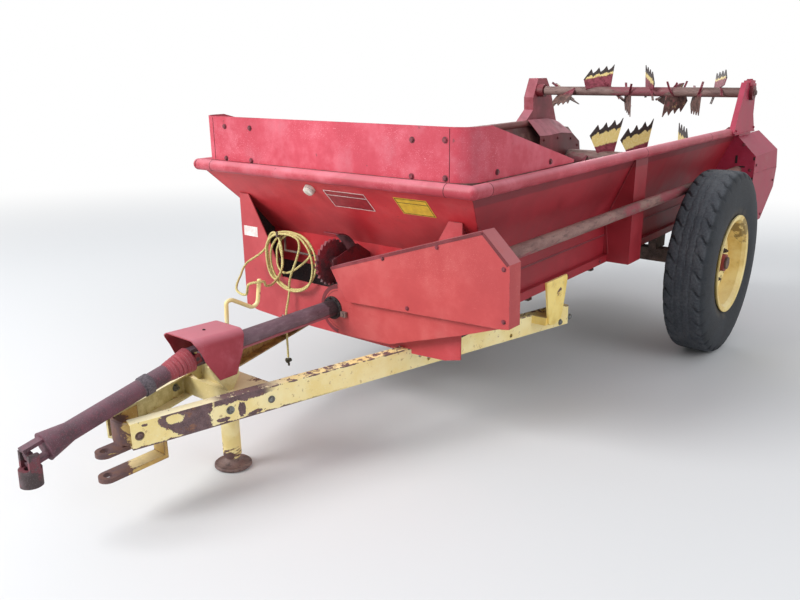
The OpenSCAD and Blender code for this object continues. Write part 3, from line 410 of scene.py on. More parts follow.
def paint(name, base, deep, pale, grime="#3a1c1e", under="#4b2f2a", fade_and_sheen=0.6, specks=0.5, chips=0.5, dirt=0.5,
          inner=None, ledge=None, soiled=None, shade=None):
    """Old enamel: paler facing the sky (bleached, with a painted sky highlight), speckled, scratched, and
    chipped at its edges.
    inner holds two tones of a worn inward face, ledge is dust on top, soiled the far rail's dirt, and shade
    the two heights between which it grows dark."""
    s = Shader(name)
    mid, fine, grit = s.noise(8.0, 5.0, 0.62), s.noise(60.0, 4.0, 0.7), s.noise(330.0, 2.0, 0.6)
    colour = s.tones(s.noise(1.6) * 0.6 + mid * 0.4, 0.36, 0.64, deep, base)
    # Paler where it faces up: sun bleaching together with a painted sky highlight; the noise adds faded patches.
    bleach_and_sky_sheen = (s.step(s.facing("Z"), 0.1, 0.95) * 0.75 + s.step(mid, 0.42, 0.75) * 0.45) * fade_and_sheen
    colour = s.mix(bleach_and_sky_sheen.at_most(1.0), colour, pale)
    region = s.step(s.noise(3.1), 0.42, 0.66)
    colour = s.mix(s.step(grit, 0.60, 0.70) * region * specks, colour, pale)
    scratch = s.noise(26.0, 3.0, 0.7, (0.25, 1.0, 9.0), 0.4)
    scratched = s.step(scratch, 0.66, 0.72) * s.step(fine, 0.45, 0.6) * specks
    colour = s.mix(scratched * 0.6, colour, pale)
    streak = s.noise(9.0, 4.0, 0.6, (1.0, 1.0, 0.12))
    dirty = s.step(streak * 0.5 + mid * 0.5, 0.5, 0.72) * dirt
    colour = s.mix(dirty * 0.75, colour, grime)
    worn = s.edges(0.006) * s.step(fine, 0.42, 0.62) * 0.5
    colour = s.mix((worn * 1.4).at_most(0.9), colour, under)
    chip = s.step(s.noise(17.0, 6.0, 0.72), 0.69 - 0.05 * chips, 0.70 - 0.05 * chips)
    colour = s.mix(chip * min(1.0, chips * 1.6), colour, under)
    if inner:
        inward = s.step(s.facing("X") * s.math("SIGN", s.axis("X")) * -1.0, 0.3, 0.6)
        bare = s.veil(s.tones(mid, 0.4, 0.62, *inner), streak, 0.55, 0.7, 0.6, colour)
        colour = s.mix(inward, colour, bare)
    if ledge:
        dusty = s.step(s.facing("Z"), 0.55, 0.85) * s.step(mid + fine * 0.3, 0.42, 0.6, (0.45, 1.0))
        colour = s.mix(dusty, colour, ledge)
    # Painted shadow of the top rail: darker from the lower height up to the rail.
    if shade:
        colour = s.veil(colour, s.axis("Z") + fine * 0.004, *shade, 0.45, "#4b1a22")
    if soiled:
        far = s.step(s.axis("X"), -0.68, -0.72) * s.step(s.axis("Y"), -1.9, -0.9)
        colour = s.mix(far * s.step(mid, 0.3, 0.55, (0.65, 1.0)), colour, soiled)
    height = fine * 0.35 + grit * 0.15 + chip * (-0.5 * chips) + mid * 0.8
    return s.done(colour, 0.42 + mid * 0.22 + dirty * 0.15 + bleach_and_sky_sheen * 0.1, height, 0.16, 0.002)


def patchy_yellow(name, patches, base="#e3c878", deep="#cfa94e", bare="#5d4546", rust="#8d5a33", amount=0.5,
                  edge=1.0):
    """Yellow enamel that has come off in ragged flakes down to brown steel, rust along the flakes' rims.
    patches holds (place, radius) pairs where more of it is gone."""
    s = Shader(name)
    mid, ragged = s.noise(7.0, 4.0, 0.6), s.noise(15.0, 8.0, 0.72, (1.0, 0.55, 1.15), 0.6)
    fine, grit = s.noise(110.0, 4.0, 0.7), s.noise(420.0, 2.0, 0.6)
    colour = s.tones(mid, 0.38, 0.64, deep, base)
    # Faces that look up are painted paler: a painted sky highlight.
    colour = s.veil(colour, s.facing("Z"), 0.3, 0.95, 0.5, "#f0e4b8")
    colour = s.veil(colour, fine, 0.58, 0.72, 0.5, "#f0e4b8")
    gone = s.edges(0.014, 0.03, 0.5) * (0.17 * edge)
    for place, radius in patches:
        gone += s.blob(place, radius) * 0.22
    level = ragged + gone + fine * 0.05
    limit = 0.76 - 0.1 * amount
    colour = s.veil(colour, level, limit - 0.022, limit - 0.004, 0.8, rust)
    steel = s.tones(s.noise(34.0, 5.0, 0.7), 0.4, 0.62, bare, rust)
    steel = s.veil(steel, grit, 0.5, 0.7, 0.35, "#8b7c80")
    open_steel = s.step(level, limit, limit + 0.012)
    colour = s.mix(open_steel, colour, s.mix(0.72, steel, bare))
    colour = s.veil(colour, s.noise(21.0, 5.0, 0.7), 0.56, 0.74, 0.3, "#8a7550")
    height = open_steel * -1.0 + fine * 0.3 + grit * 0.1
    return s.done(colour, 0.45 + open_steel * 0.25 + fine * 0.12, height, 0.5, 0.0012)


def rusty(name, tones, left=None, left_share=0.5, rough=0.62, metal=0.0, along=None):
    """Bare or nearly bare steel: three tones of rust, with what is left of its paint."""
    s = Shader(name, metal=metal)
    mid, spots = s.noise(11.0, 5.0, 0.65, along), s.noise(46.0, 5.0, 0.7, along)
    grit = s.noise(380.0, 3.0, 0.6)
    colour = s.veil(s.tones(mid, 0.38, 0.6, *tones[:2]), spots, 0.5, 0.66, 0.75, tones[2])
    if left:
        kept = s.step(s.noise(6.0, 6.0, 0.66, along), 0.58 - 0.16 * left_share, 0.62 - 0.14 * left_share)
        colour = s.mix(kept * s.step(spots, 0.3, 0.5) * 0.85, colour, left)
    colour = s.veil(colour, grit, 0.55, 0.72, 0.3, "#a79c9a")
    return s.done(colour, (rough - 0.1) + spots * 0.3, spots * 0.8 + grit * 0.4, 0.35, 0.0015)


def plain(name, base, deep, scale=30.0, rough=0.5, metal=0.0, strength=0.12):
    """One colour with its small variation, for small parts."""
    s = Shader(name, metal=metal)
    mid, fine = s.noise(scale, 4.0, 0.6), s.noise(scale * 9, 3.0, 0.6)
    colour = s.veil(s.tones(mid, 0.35, 0.68, deep, base), fine, 0.55, 0.75, 0.3, deep)
    return s.done(colour, (rough - 0.08) + fine * 0.2, mid + fine * 0.4, strength, 0.001)


def rubber(name):
    """Weathered tyre: dusty tread, darker bluish walls of black rubber with painted shade, faint rings."""
    s = Shader(name)
    mid, fine, grit = s.noise(9.0, 5.0, 0.65), s.noise(85.0, 5.0, 0.7), s.noise(420.0, 2.0, 0.6)
    y, z = s.axis("Y"), s.axis("Z") - AXLE_Z
    radius = s.math("SQRT", y * y + z * z)
    # Walls: black rubber with painted shade, darker and bluer than the dusty tread.
    wall = s.tones(mid, 0.38, 0.66, "#12171e", "#1b2129")
    dusty = s.tones(fine * 0.6 + mid * 0.4, 0.4, 0.62, "#2f343c", "#4a4d52")
    colour = s.tones(radius, 0.492, 0.506, wall, dusty)
    colour = s.veil(colour, grit, 0.56, 0.7, 0.3, "#66686a")
    colour = s.mix(s.step(radius, 0.33, 0.29) * s.step(mid, 0.4, 0.6) * 0.35, colour, "#5f5546")
    rings = s.math("SINE", radius * 520.0) * s.step(radius, 0.47, 0.44)
    return s.done(colour, 0.62 + fine * 0.25, fine * 0.8 + grit * 0.3 + rings * 0.18, 0.35, 0.0014)


def paddle_paint(name, centre, tooth, black, yellow):
    """Black edge that follows the saw teeth, a yellow field and a red base; plates that hang below the shaft
    have rusted. The attribute holds the count of teeth passed, depth below the tips and a random tone."""
    s = Shader(name)
    held = s.new("Attribute", attribute_name="paddle").outputs["Vector"]
    passed, depth, tone = (s.axis(letter, held) for letter in "XYZ")
    y, z = s.axis("Y") - centre[0], s.axis("Z") - centre[1]
    ragged, fine, grit = s.noise(36.0, 7.0, 0.72), s.noise(150.0, 4.0, 0.7), s.noise(420.0, 2.0, 0.6)
    phase = s.math("FRACT", passed)
    saw = (phase / 0.8).at_most((1.0 - phase) / 0.2)
    ends = s.step(passed, 0.14, 0.0, (0.0, 0.03)) + s.step(passed, TEETH - 0.35, TEETH, (0.0, 0.05))
    field = depth + (ragged - 0.5) * 0.05
    red = s.tones(ragged, 0.4, 0.6, "#6d2131", "#934050")
    gold = s.tones(fine, 0.4, 0.65, "#e3c871", "#f4e4ac")
    steel = s.tones(fine, 0.4, 0.65, "#221c1b", "#4b3d3c")
    colour = s.tones(field - (saw * tooth + ends), black - 0.002, black + 0.002, steel, gold)
    colour = s.tones(field + tone * 0.02, yellow - 0.004, yellow + 0.004, colour, red)
    chips = s.step(s.noise(25.0, 8.0, 0.75) + s.edges(0.008, 0.03, 0.5) * 0.1, 0.62, 0.64) * 0.9
    colour = s.mix(chips, colour, "#4c302c")
    brown = s.veil(s.tones(ragged, 0.4, 0.6, "#46312e", "#7d5c53"), fine, 0.56, 0.7, 0.45, "#a28477")
    hanging = s.step(z + y.at_least(0.0) * -0.5, -0.004, -0.040)
    left = s.step(ragged + tone * 0.12, 0.66, 0.70)
    colour = s.mix(hanging * (1.0 - left * 0.6), colour, brown)
    colour = s.veil(colour, grit, 0.58, 0.72, 0.25, "#a99892")
    return s.done(colour, 0.42 + fine * 0.3 + hanging * 0.15, fine * 0.5 + chips * -0.7, 0.35, 0.0012)


def leg_paint(name):
    """Drawbar channels: yellow that has come off behind the nose on the left; khaki inside the right one, which
    is painted shade over its yellow and rust.
    """
    s = Shader(name)
    left = s.step(s.axis("X"), -0.001, 0.001)
    along = ((s.math("ABSOLUTE", s.axis("X")) - LEG_START[0]) * LEG_DIR[0]
             + (s.axis("Y") - LEG_START[1]) * LEG_DIR[1])
    h = s.axis("Z") - LEG_Z
    up = s.step(s.facing("Z"), 0.5, 0.8)
    ragged, fine, grit = s.noise(30.0, 8.0, 0.74), s.noise(120.0, 4.0, 0.7), s.noise(420.0, 2.0, 0.6)
    jag = ragged - 0.5

    def spot(a, b, wide, high, rough=5.0):
        """1 inside a ragged oval on the leg's side, at a distance along it and a height."""
        da, db = (along - a) / wide, (h - b) / high
        return s.step(da * da + db * db + jag * rough, 1.04, 0.98)

    low = (0.085 - h) / 0.07
    begins = s.step(along + jag * 0.10 - (0.092 + low * low * 0.06), -0.001, 0.001)
    stops = s.step(along + jag * 0.09, 0.274, 0.276)
    side_gone = begins * (1.0 - stops) * (1.0 - spot(0.152, 0.070, 0.032, 0.017))
    band = s.step(h + jag * 0.05, 0.070, 0.0715) * s.between(along, 0.28, 0.29, 0.47, 0.53)
    edge = s.step(h + jag * 0.012, 0.0872, 0.0882) * s.step(along, 0.40, 0.5) * s.step(ragged, 0.44, 0.5)
    foot = s.step(h + jag * 0.03, 0.0052, 0.0042) * s.step(along, 0.9, 0.5)
    for part in (spot(0.387, 0.036, 0.014, 0.030), spot(0.312, 0.018, 0.024, 0.008), band, edge, foot,
                 spot(0.045, 0.078, 0.010, 0.004, 9.0), spot(0.44, 0.012, 0.030, 0.006, 9.0)):
        side_gone = side_gone.at_least(part)
    top_gone = s.between(along, 0.27, 0.33, 0.46, 0.56) * s.step(jag + 0.06, -0.02, 0.0)
    top_gone = top_gone.at_least(s.step(along, 0.5, 0.56) * s.step(jag, 0.035, 0.05))
    chips = s.step(s.noise(17.0, 8.0, 0.75) + s.edges(0.010, 0.03, 0.5) * 0.05, 0.665, 0.672)
    gone = (((1.0 - up) * side_gone + up * top_gone) * left).at_least(chips)
    yellow = s.tones(s.noise(7.0, 4.0, 0.6), 0.36, 0.66, "#f4dd94", "#fcecb2")
    yellow = s.veil(yellow, fine, 0.56, 0.72, 0.5, "#fbf2cc")
    # Right leg: painted shade over its yellow (khaki near the nose) and its rust (brown further back).
    far = s.tones(along, 0.55, 0.8, s.tones(ragged, 0.4, 0.6, "#b9aa72", "#cfc28d"),
                  s.tones(ragged, 0.4, 0.6, "#7a5a30", "#a98a4c"))
    colour = s.mix(1.0 - left, yellow, far)
    # Top faces ahead of the middle are painted cream: a painted sky highlight.
    colour = s.mix(up * s.step(along, 0.62, 0.5), colour, "#eee3ba")
    rust = s.tones(fine, 0.4, 0.6, "#7d4f38", "#a26f42")
    steel = s.tones(ragged, 0.42, 0.58, "#5a4446", "#6d5456")
    steel = s.veil(steel, grit, 0.5, 0.7, 0.4, "#94858a")
    steel = s.veil(steel, s.noise(60.0, 5.0, 0.7, (1.0, 0.3, 1.0)), 0.6, 0.68, 0.6, rust)
    colour = s.mix(gone.at_most(1.0), colour, steel)
    colour = s.veil(colour, s.noise(44.0, 6.0, 0.7), 0.60, 0.66, 0.55, rust)
    height = gone * -1.0 + fine * 0.3 + grit * 0.1
    return s.done(colour, 0.45 + gone * 0.2 + fine * 0.12, height, 0.5, 0.0012)


def shaft_paint(name):
    """Drive shaft: red bell with pale scratches, purple-brown tube, a bare band at the inner collar."""
    s = Shader(name)
    run = (s.axis("Y") + 2.860) * -0.9783 + (s.axis("Z") - 0.602) * -0.2070
    mid, fine, grit = s.noise(11.0, 5.0, 0.65), s.noise(90.0, 5.0, 0.7), s.noise(380.0, 3.0, 0.6)
    colour = s.veil(s.tones(mid, 0.36, 0.64, "#4a3038", "#643c48"), fine, 0.5, 0.66, 0.5, "#7c3b49")
    # Faces that look up are painted a paler grey: a painted sky sheen.
    colour = s.veil(colour, s.facing("Z"), 0.2, 0.95, 0.22, "#86737c")
    band = s.between(run, 0.176, 0.180, 0.214, 0.222)
    colour = s.mix(band, colour, s.tones(fine, 0.4, 0.6, "#443c42", "#5e555c"))
    scratches = s.step(s.math("SINE", run * 620.0), 0.75, 0.95) * s.step(fine, 0.4, 0.6)
    red = s.mix(scratches * 0.35, s.tones(mid, 0.36, 0.64, "#86303b", "#9c4048"), "#b58a8e")
    colour = s.tones(run + (mid - 0.5) * 0.06, 0.120, 0.112, colour, red)
    colour = s.veil(colour, grit, 0.55, 0.72, 0.3, "#a79ca4")
    return s.done(colour, 0.5 + fine * 0.3, fine * 0.8 + grit * 0.4, 0.35, 0.0015)


def tube_paint(name):
    """Tube from the hood to the shield: dark purple-grey above, dull red below, black at its rear end."""
    s = Shader(name)
    mid, fine = s.noise(9.0, 5.0, 0.66, (1.0, 0.4, 1.0)), s.noise(70.0, 5.0, 0.7, (1.0, 0.3, 1.0))
    grit = s.noise(380.0, 3.0, 0.6)
    turned = s.facing("Z") + (mid - 0.5) * 0.8
    dark = s.veil(s.tones(mid, 0.36, 0.62, "#54414a", "#74606a"), fine, 0.5, 0.66, 0.55, "#8c7883")
    colour = s.tones(turned, -0.30, -0.42, dark, s.tones(mid, 0.36, 0.62, "#93404d", "#ab5561"))
    colour = s.mix(s.between(turned, -0.46, -0.42, -0.34, -0.28) * 0.6, colour, "#3a262b")
    colour = s.veil(colour, s.axis("Y") + (fine - 0.5) * 0.06, -2.198, -2.186, 0.85, "#241b1c")
    colour = s.veil(colour, grit, 0.55, 0.72, 0.3, "#a99ea6")
    return s.done(colour, 0.48 + fine * 0.3, fine * 0.8 + grit * 0.4, 0.35, 0.0015)


def wood(name):
    """Weathered planks, each its own tone, grain along the machine."""
    s = Shader(name)
    plank = s.math("FLOOR", s.axis("X") / 0.148)
    tone = Value(s, s.new("TexWhiteNoise", {"W": plank}, noise_dimensions="1D").outputs[0])
    grain = s.noise(34.0, 6.0, 0.65, (1.0, 0.05, 1.0), 0.5)
    colour = s.mix(tone * 0.4, s.tones(grain, 0.38, 0.62, "#4a362c", "#83705f"), "#6b5546")
    colour = s.veil(colour, s.noise(3.0, 5.0, 0.6), 0.45, 0.65, 0.7, "#3a2a24")
    return s.done(colour, 0.68 + grain * 0.2, grain, 0.5, 0.002)


M = {
    "board": paint("board_red", "#c34052", "#b03143", "#e59aa8", under="#4d3336", fade_and_sheen=0.55, specks=0.75,
                   chips=0.35, dirt=0.3),
    "rail": paint("rail_red", "#b93a49", "#9c2b39", "#dc8c99", under="#5b2f33", fade_and_sheen=0.7, specks=0.8,
                  chips=0.45, dirt=0.35, soiled="#7c4c49"),
    "hood": paint("hood_red", "#a43744", "#8a2836", "#cf8592", under="#5a343a", fade_and_sheen=0.8, chips=0.2,
                  dirt=0.3),
    "shield": paint("shield_red", "#b74343", "#a7383a", "#d98f89", under="#5c2d2b", fade_and_sheen=0.3, chips=0.18,
                    dirt=0.15, ledge="#a9666c"),
    "side": paint("side_red", "#9e1c2a", "#851420", "#a83c48", under="#3f2022", fade_and_sheen=0.25, specks=0.35,
                  chips=0.25, dirt=0.25, shade=(1.100, 1.108), inner=("#5e3c39", "#86605a")),
    "wall": paint("wall_red", "#b63c41", "#a33238", "#d27a7e", under="#3f2022", fade_and_sheen=0.35, specks=0.4,
                  chips=0.25, dirt=0.2),
    "front": paint("front_red", "#cc3238", "#b22730", "#d27a7e", under="#3f2022", fade_and_sheen=0.35, specks=0.3,
                   chips=0.2, dirt=0.35),
    "rear": paint("rear_red", "#b02544", "#971b38", "#c26480", under="#5b3a3e", fade_and_sheen=0.3, specks=0.35,
                  chips=0.35, dirt=0.2),
    "house": paint("house_red", "#9c3440", "#7a2731", "#cb8491", under="#4f3032", fade_and_sheen=0.75, specks=0.35,
                   chips=0.4, dirt=0.9, grime="#4a2b2a"),
    # Parts under the box: a darker, dirty red, partly painted shade from the box above.
    "under": paint("under_red_dirt_and_shade", "#6c1a22", "#4e141a", "#8d4a4f", fade_and_sheen=0.3, specks=0.2, chips=0.4, dirt=0.9),
    "hub": paint("hub_red", "#8e2a30", "#6c1d22", "#b05e60", dirt=0.6),
    "lip": paint("lip_red", "#7a2029", "#5b161d", "#b0606a", specks=0.3, dirt=0.8),
    "leg": leg_paint("leg_yellow"),
    "hitch": patchy_yellow("hitch_yellow", [((0, -3.24, 0.38), 0.16), ((0, -3.24, 0.29), 0.14),
                                            ((-0.06, -3.18, 0.44), 0.12)],
                           base="#ddc273", deep="#b8924d", amount=0.8),
    "cross": patchy_yellow("cross_yellow", [((0.1, -2.64, 0.47), 0.08)], base="#d8cd9c", deep="#c2b078",
                           amount=0.25, edge=0.6),
    "hanger": patchy_yellow("hanger_yellow", [((0.62, -1.3, 0.6), 0.06)], base="#ffe48a", deep="#efcb66",
                            amount=0.1, edge=0.8),
    "crank": patchy_yellow("crank_yellow", [((-0.048, -2.66, 0.55), 0.05), ((-0.048, -2.53, 0.70), 0.024),
                                            ((-0.048, -2.489, 0.74), 0.020)],
                           base="#f3e7b4", deep="#e2cd8c", amount=0.75, edge=0.5),
    "jack": patchy_yellow("jack_yellow", [((0, -2.72, 0.185), 0.075)], base="#fbeaae", deep="#edd58c",
                          amount=0.45, edge=0.5),
    "rim": patchy_yellow("rim_yellow", [((1.0, 0.16, 0.68), 0.16), ((1.0, 0.1, 0.4), 0.1)], base="#f6e09a",
                         deep="#e2c272", bare="#a08a58", rust="#b29252", edge=0.5),
    "pto": shaft_paint("pto_tube"),
    "tube": tube_paint("drive_tube"),
    "side_tube": rusty("side_tube", ("#6f4a46", "#8d6a62", "#4a322f"), "#8c3440", along=(1.0, 0.3, 1.0)),
    "beater": rusty("beater_tube", ("#6f5450", "#8b706a", "#4e3a36"), "#8a4550", 0.35, along=(0.3, 1.0, 1.0)),
    "steel": rusty("dark_steel", ("#4a3a35", "#6b554b", "#352a27"), rough=0.66),
    "yoke": rusty("yoke_steel", ("#3c2f30", "#56464a", "#2a2223"), "#6f2f3a", 0.3, rough=0.58),
    "foot": rusty("foot_steel", ("#5b4340", "#7c635c", "#423230"), rough=0.6),
    "chain": rusty("chain_steel", ("#54463d", "#786558", "#3a302b"), rough=0.55, metal=0.25),
    "ratchet": rusty("ratchet_steel", ("#4b2429", "#66343a", "#2f1b1e"), "#7d1f2b", 0.55, rough=0.5),
    # Near black: caked dirt, and painted shade on sheets put where the space inside and under the box is dark.
    "dark_dirt_and_shade": rusty("black_dirt_and_painted_shade", ("#1f1718", "#2e2021", "#171112"), rough=0.8),
    "bolt": plain("bolt_zinc", "#8a8d8c", "#55534f", 60.0, 0.45, 0.6),
    "bolt_red": plain("bolt_red", "#8a3441", "#54262c", 60.0),
    "white": plain("white_cap", "#ece8df", "#c9c2b4", 40.0, 0.4),
    "gap": plain("seam_dark", "#2a1214", "#1a0b0d", 60.0, 0.8),
    "rope": plain("rope_yarn", "#d8cb8c", "#a99a5f", 160.0, 0.8, strength=0.4),
    "knot": plain("rope_dirty", "#57503a", "#37332a", 120.0, 0.85, strength=0.4),
    "label_yellow": plain("label_yellow", "#e2bd35", "#cda52c", 40.0, 0.45),
    "label_red": plain("label_red", "#a12a31", "#8c222a", 40.0, 0.45),
    "label_white": plain("label_white", "#e4dcd8", "#cbbfba", 40.0),
    "label_black": plain("label_black", "#25201f", "#151212", 40.0),
    "rubber": rubber("tyre_rubber"),
    "wood": wood("floor_planks"),
    "top_paddle": paddle_paint("top_paddle_paint", TOP_BEATER, 0.014, 0.042, 0.082),
    "main_paddle": paddle_paint("main_paddle_paint", MAIN_BEATER, 0.020, 0.058, 0.168),
}

NODE_LOOKS = {
    "board": "front_board",
    "rail": "top_rail",
    "hood": "pto_hood",
    "shield": "chain_shield chain_shield_pan",
    "side": "side_panel_left side_panel_right side_post_left side_post_right sill_left sill_right",
    "front": "front_panel",
    "wall": "front_bulkhead",
    "rear": "rear_chain_shield rear_shield_bracket beater_post_left",
    "house": "beater_post_right",
    "under": "floor_crossmembers bulkhead_brackets",
    "wood": "box_floor",
    "leg": "drawbar_leg_left drawbar_leg_right",
    "hitch": "hitch_nose",
    "cross": "drawbar_cross carrier_bearing",
    "hanger": "leg_hanger_left leg_hanger_right",
    "crank": "jack_crank",
    "jack": "jack_tube jack_leg",
    "foot": "jack_foot",
    "rim": "rim_left rim_right",
    "hub": "hub_left hub_right",
    "pto": "pto_shaft",
    "yoke": "pto_end_yoke",
    "tube": "driveline_tube",
    "side_tube": "side_shaft_tube",
    "beater": "top_beater_tube main_beater_tube",
    "top_paddle": "top_beater_paddles",
    "main_paddle": "main_beater_paddles",
    "lip": "beater_bearings",
    "steel": "axle apron_shafts rope_hook",
    "chain": "apron",
    "ratchet": "apron_ratchet",
    "white": "front_cap",
    "rope": "rope_coil rope_tail rope_strand",
    "rubber": "tyre_left tyre_right",
}
for look, names in NODE_LOOKS.items():
    for name in names.split():
        mesh = nodes[name].data
        mesh.materials.clear()
        mesh.materials.append(M[look])
rope.data.materials.append(M["rope"])
knot.data.materials.append(M["knot"])


# ---- Mesh helper


def finish(bm, name, body, look, slot, parked=True, smooth_below=40.0, replaces=()):
    """Turns bmesh into a piece that rides on body, tipped with the machine if it was made level."""
    bmesh.ops.recalc_face_normals(bm, faces=bm.faces)
    limit = math.radians(smooth_below)
    for face in bm.faces:
        face.smooth = True
    for e in bm.edges:
        e.smooth = len(e.link_faces) == 2 and e.calc_face_angle(9.0) < limit
    mesh = bpy.data.meshes.new(name)
    bm.to_mesh(mesh)
    bm.free()
    if parked:
        mesh.transform(PARKED)
    mesh.materials.append(M[look])
    piece = bpy.data.objects.new(name, mesh)
    scene.collection.objects.link(piece)
    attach(piece, body)
    if replaces:
        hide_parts(*replaces)


def piece(name, look, shapes, slot="red_paint", body="frame", **options):
    """One piece made of shapes; each is a function and what it takes after bm."""
    bm = bmesh.new()
    for make, *values in shapes:
        make(bm, *values)
    finish(bm, name, body, look, slot, **options)


def cylinder(bm, centre, direction, radius, height, sides=16, top=None):
    """Cylinder that stands on centre and grows along direction."""
    turned = Vector(direction).to_track_quat("Z", "Y").to_matrix().to_4x4()
    at = Matrix.Translation(Vector(centre)) @ turned @ Matrix.Translation((0, 0, height / 2))
    bmesh.ops.create_cone(bm, cap_ends=True, segments=sides, radius1=radius,
                          radius2=radius if top is None else top, depth=height, matrix=at)


def bolt(bm, centre, direction, size=0.010, washer=True):
    """Hexagon head with a chamfered crown and a washer; size is half the width across corners."""
    d = Vector(direction).normalized()
    c = Vector(centre)
    if washer:
        cylinder(bm, c - d * 0.0005, d, size * 1.35, 0.0025, 20)
    start = c + d * (0.0015 if washer else -0.0005)
    cylinder(bm, start, d, size, size * 0.55, 6)
    cylinder(bm, start + d * size * 0.55, d, size * 0.97, size * 0.14, 6, size * 0.8)


def slab(bm, low, high, bevel=0.0):
    """Box between two corners, its edges rounded."""
    low, high = Vector(low), Vector(high)
    made = bmesh.ops.create_cube(bm, size=1.0, matrix=Matrix.Translation((low + high) / 2)
                                 @ Matrix.Diagonal((*(high - low), 1.0)))
    if bevel:
        found = {e for v in made["verts"] for e in v.link_edges}
        bmesh.ops.bevel(bm, geom=list(found), offset=bevel, segments=2, profile=0.6, affect="EDGES")


def prism(bm, low, high):
    """Closed solid between two outlines with as many corners."""
    skin(bm, [[bm.verts.new(p) for p in outline] for outline in (low, high)])


def plate(bm, outline, depth, place):
    """Flat plate: outline in the XY of place, depth along its Z."""
    prism(bm, *([place @ Vector((x, y, z)) for x, y in outline] for z in (0, depth)))


def sheet(bm, corners, offset):
    """Flat or folded sheet between corners and the same corners moved by offset."""
    prism(bm, corners, [Vector(c) + Vector(offset) for c in corners])


def upright(x, outline, thick):
    """Shape of a sheet that stands along the machine; its outline is in Y and Z."""
    return sheet, [(x, y, z) for y, z in outline], (thick, 0, 0)


# ---- Tyres

WHEEL_X = 0.927
TREAD_LUGS = 34
TREAD_HALF = 0.103
# Columns: distance from the middle plane, radius; the outside runs from the bead to the crown
TYRE_PROFILE = [
    (0.084, 0.2502), (0.096, 0.268), (0.1035, 0.295), (0.108, 0.320), (0.1115, 0.350), (0.1137, 0.385),
    (0.1125, 0.420), (0.110, 0.450), (0.1068, 0.470), (0.103, 0.485), (0.097, 0.496), (0.089, 0.504),
    (0.080, 0.5065), (0.072, 0.508),
]
TYRE_INSIDE = [
    (-0.070, 0.262), (-0.085, 0.310), (-0.092, 0.385), (-0.082, 0.455), (0.0, 0.488),
    (0.082, 0.455), (0.092, 0.385), (0.085, 0.310), (0.070, 0.262),
]
CROWN_STEPS = 30


def tread_depth(turn, x):
    """How far the tread is cut in at an angle and a distance from the middle plane."""
    s = abs(x) / TREAD_HALF
    side = 1 if x >= 0 else -1
    phase = turn * TREAD_LUGS / (2 * math.pi) + (0.5 if side > 0 else 0.0)
    phase += side * 0.16 * math.sin(s * 9.0) + 0.25 * s * side
    f = phase - math.floor(phase)
    depth = 0.0
    if s > 0.34:
        width = 0.085 + 0.05 * (s - 0.34) / 0.6
        edge = min(1.0, max(0.0, (width - abs(f - 0.5)) / 0.03))
        depth = edge * (0.0035 + 0.0075 * min(1.0, (s - 0.34) / 0.45))
    if s > 0.55:
        half = 2 * phase - math.floor(2 * phase)
        depth = max(depth, 0.003 * min(1.0, max(0.0, (0.06 - abs(half - 0.5)) / 0.03)))
    for lane in (0.0, 0.33):
        off = abs(s - lane - 0.14 * abs(f - 0.5))
        if off < 0.045:
            depth = max(depth, 0.0035 * (1 - off / 0.045) ** 0.5)
    return depth


def make_tyre(side, name):
    bm = bmesh.new()
    crown = [0.072 - 0.144 * i / CROWN_STEPS for i in range(1, CROWN_STEPS)]
    outside = TYRE_PROFILE + [(x, 0.510 - 0.002 * (abs(x) / 0.072) ** 2) for x in crown]
    outside += [(-x, r) for x, r in reversed(TYRE_PROFILE)]
    turns = TREAD_LUGS * 16
    rings = []
    for k in range(turns):
        a = 2 * math.pi * k / turns
        line = []
        for x, r in outside:
            if r > 0.47:
                cut = tread_depth(a, x)
                wall = min(1.0, (r - 0.470) / 0.03)
                r -= cut * wall
                x -= math.copysign(cut * (1 - wall) * 0.6, x) if abs(x) > 0.09 else 0.0
            line.append((x, r))
        rings.append([bm.verts.new((side * (WHEEL_X + x), r * math.sin(a), AXLE_Z + r * math.cos(a)))
                      for x, r in line + TYRE_INSIDE])
    skin(bm, rings, loop=True)
    finish(bm, f"tyre_{name}_tread", f"wheel_{name}", "rubber", "tyre", smooth_below=34.0,
           replaces=[f"tyre_{name}"])


for side, name in SIDES:
    make_tyre(side, name)


# ---- Beater paddles

# Columns: place along the shaft, turn about the shaft, hand, twist about the paddle's own radius
TOP_PADDLES = [
    (-0.265, 0, 1, 22), (0.114, 6, -1, 52), (0.572, -24, -1, 54), (-0.510, 128, 1, 22), (-0.038, 182, 1, 55),
    (0.300, 180, -1, 62), (0.440, 168, 1, 55), (-0.560, 258, 1, 40), (-0.150, 256, 1, 40),
    (0.240, 262, -1, 40),
]
MAIN_PADDLES = [
    (-0.270, 4, 1, 30), (-0.020, 12, 1, 38), (0.290, -8, -1, 54), (-0.440, 118, 1, 40), (-0.470, 196, 1, 40),
    (-0.450, 250, 1, 40), (-0.215, 128, 1, 35), (-0.215, 248, 1, 35), (0.020, 160, 1, 40),
    (0.060, 255, 1, 40),
    (0.215, 100, -1, 50), (0.430, 108, -1, 50), (0.290, 205, -1, 50), (0.440, 260, -1, 50),
]
# Columns: width, width at the foot, rise of the teeth, depth of a tooth, drop of the last one
TOP_SHAPE = (0.210, 0.176, 0.042, 0.032, 0.062)
MAIN_SHAPE = (0.244, 0.124, 0.062, 0.044, 0.066)
PADDLE_T = 0.006


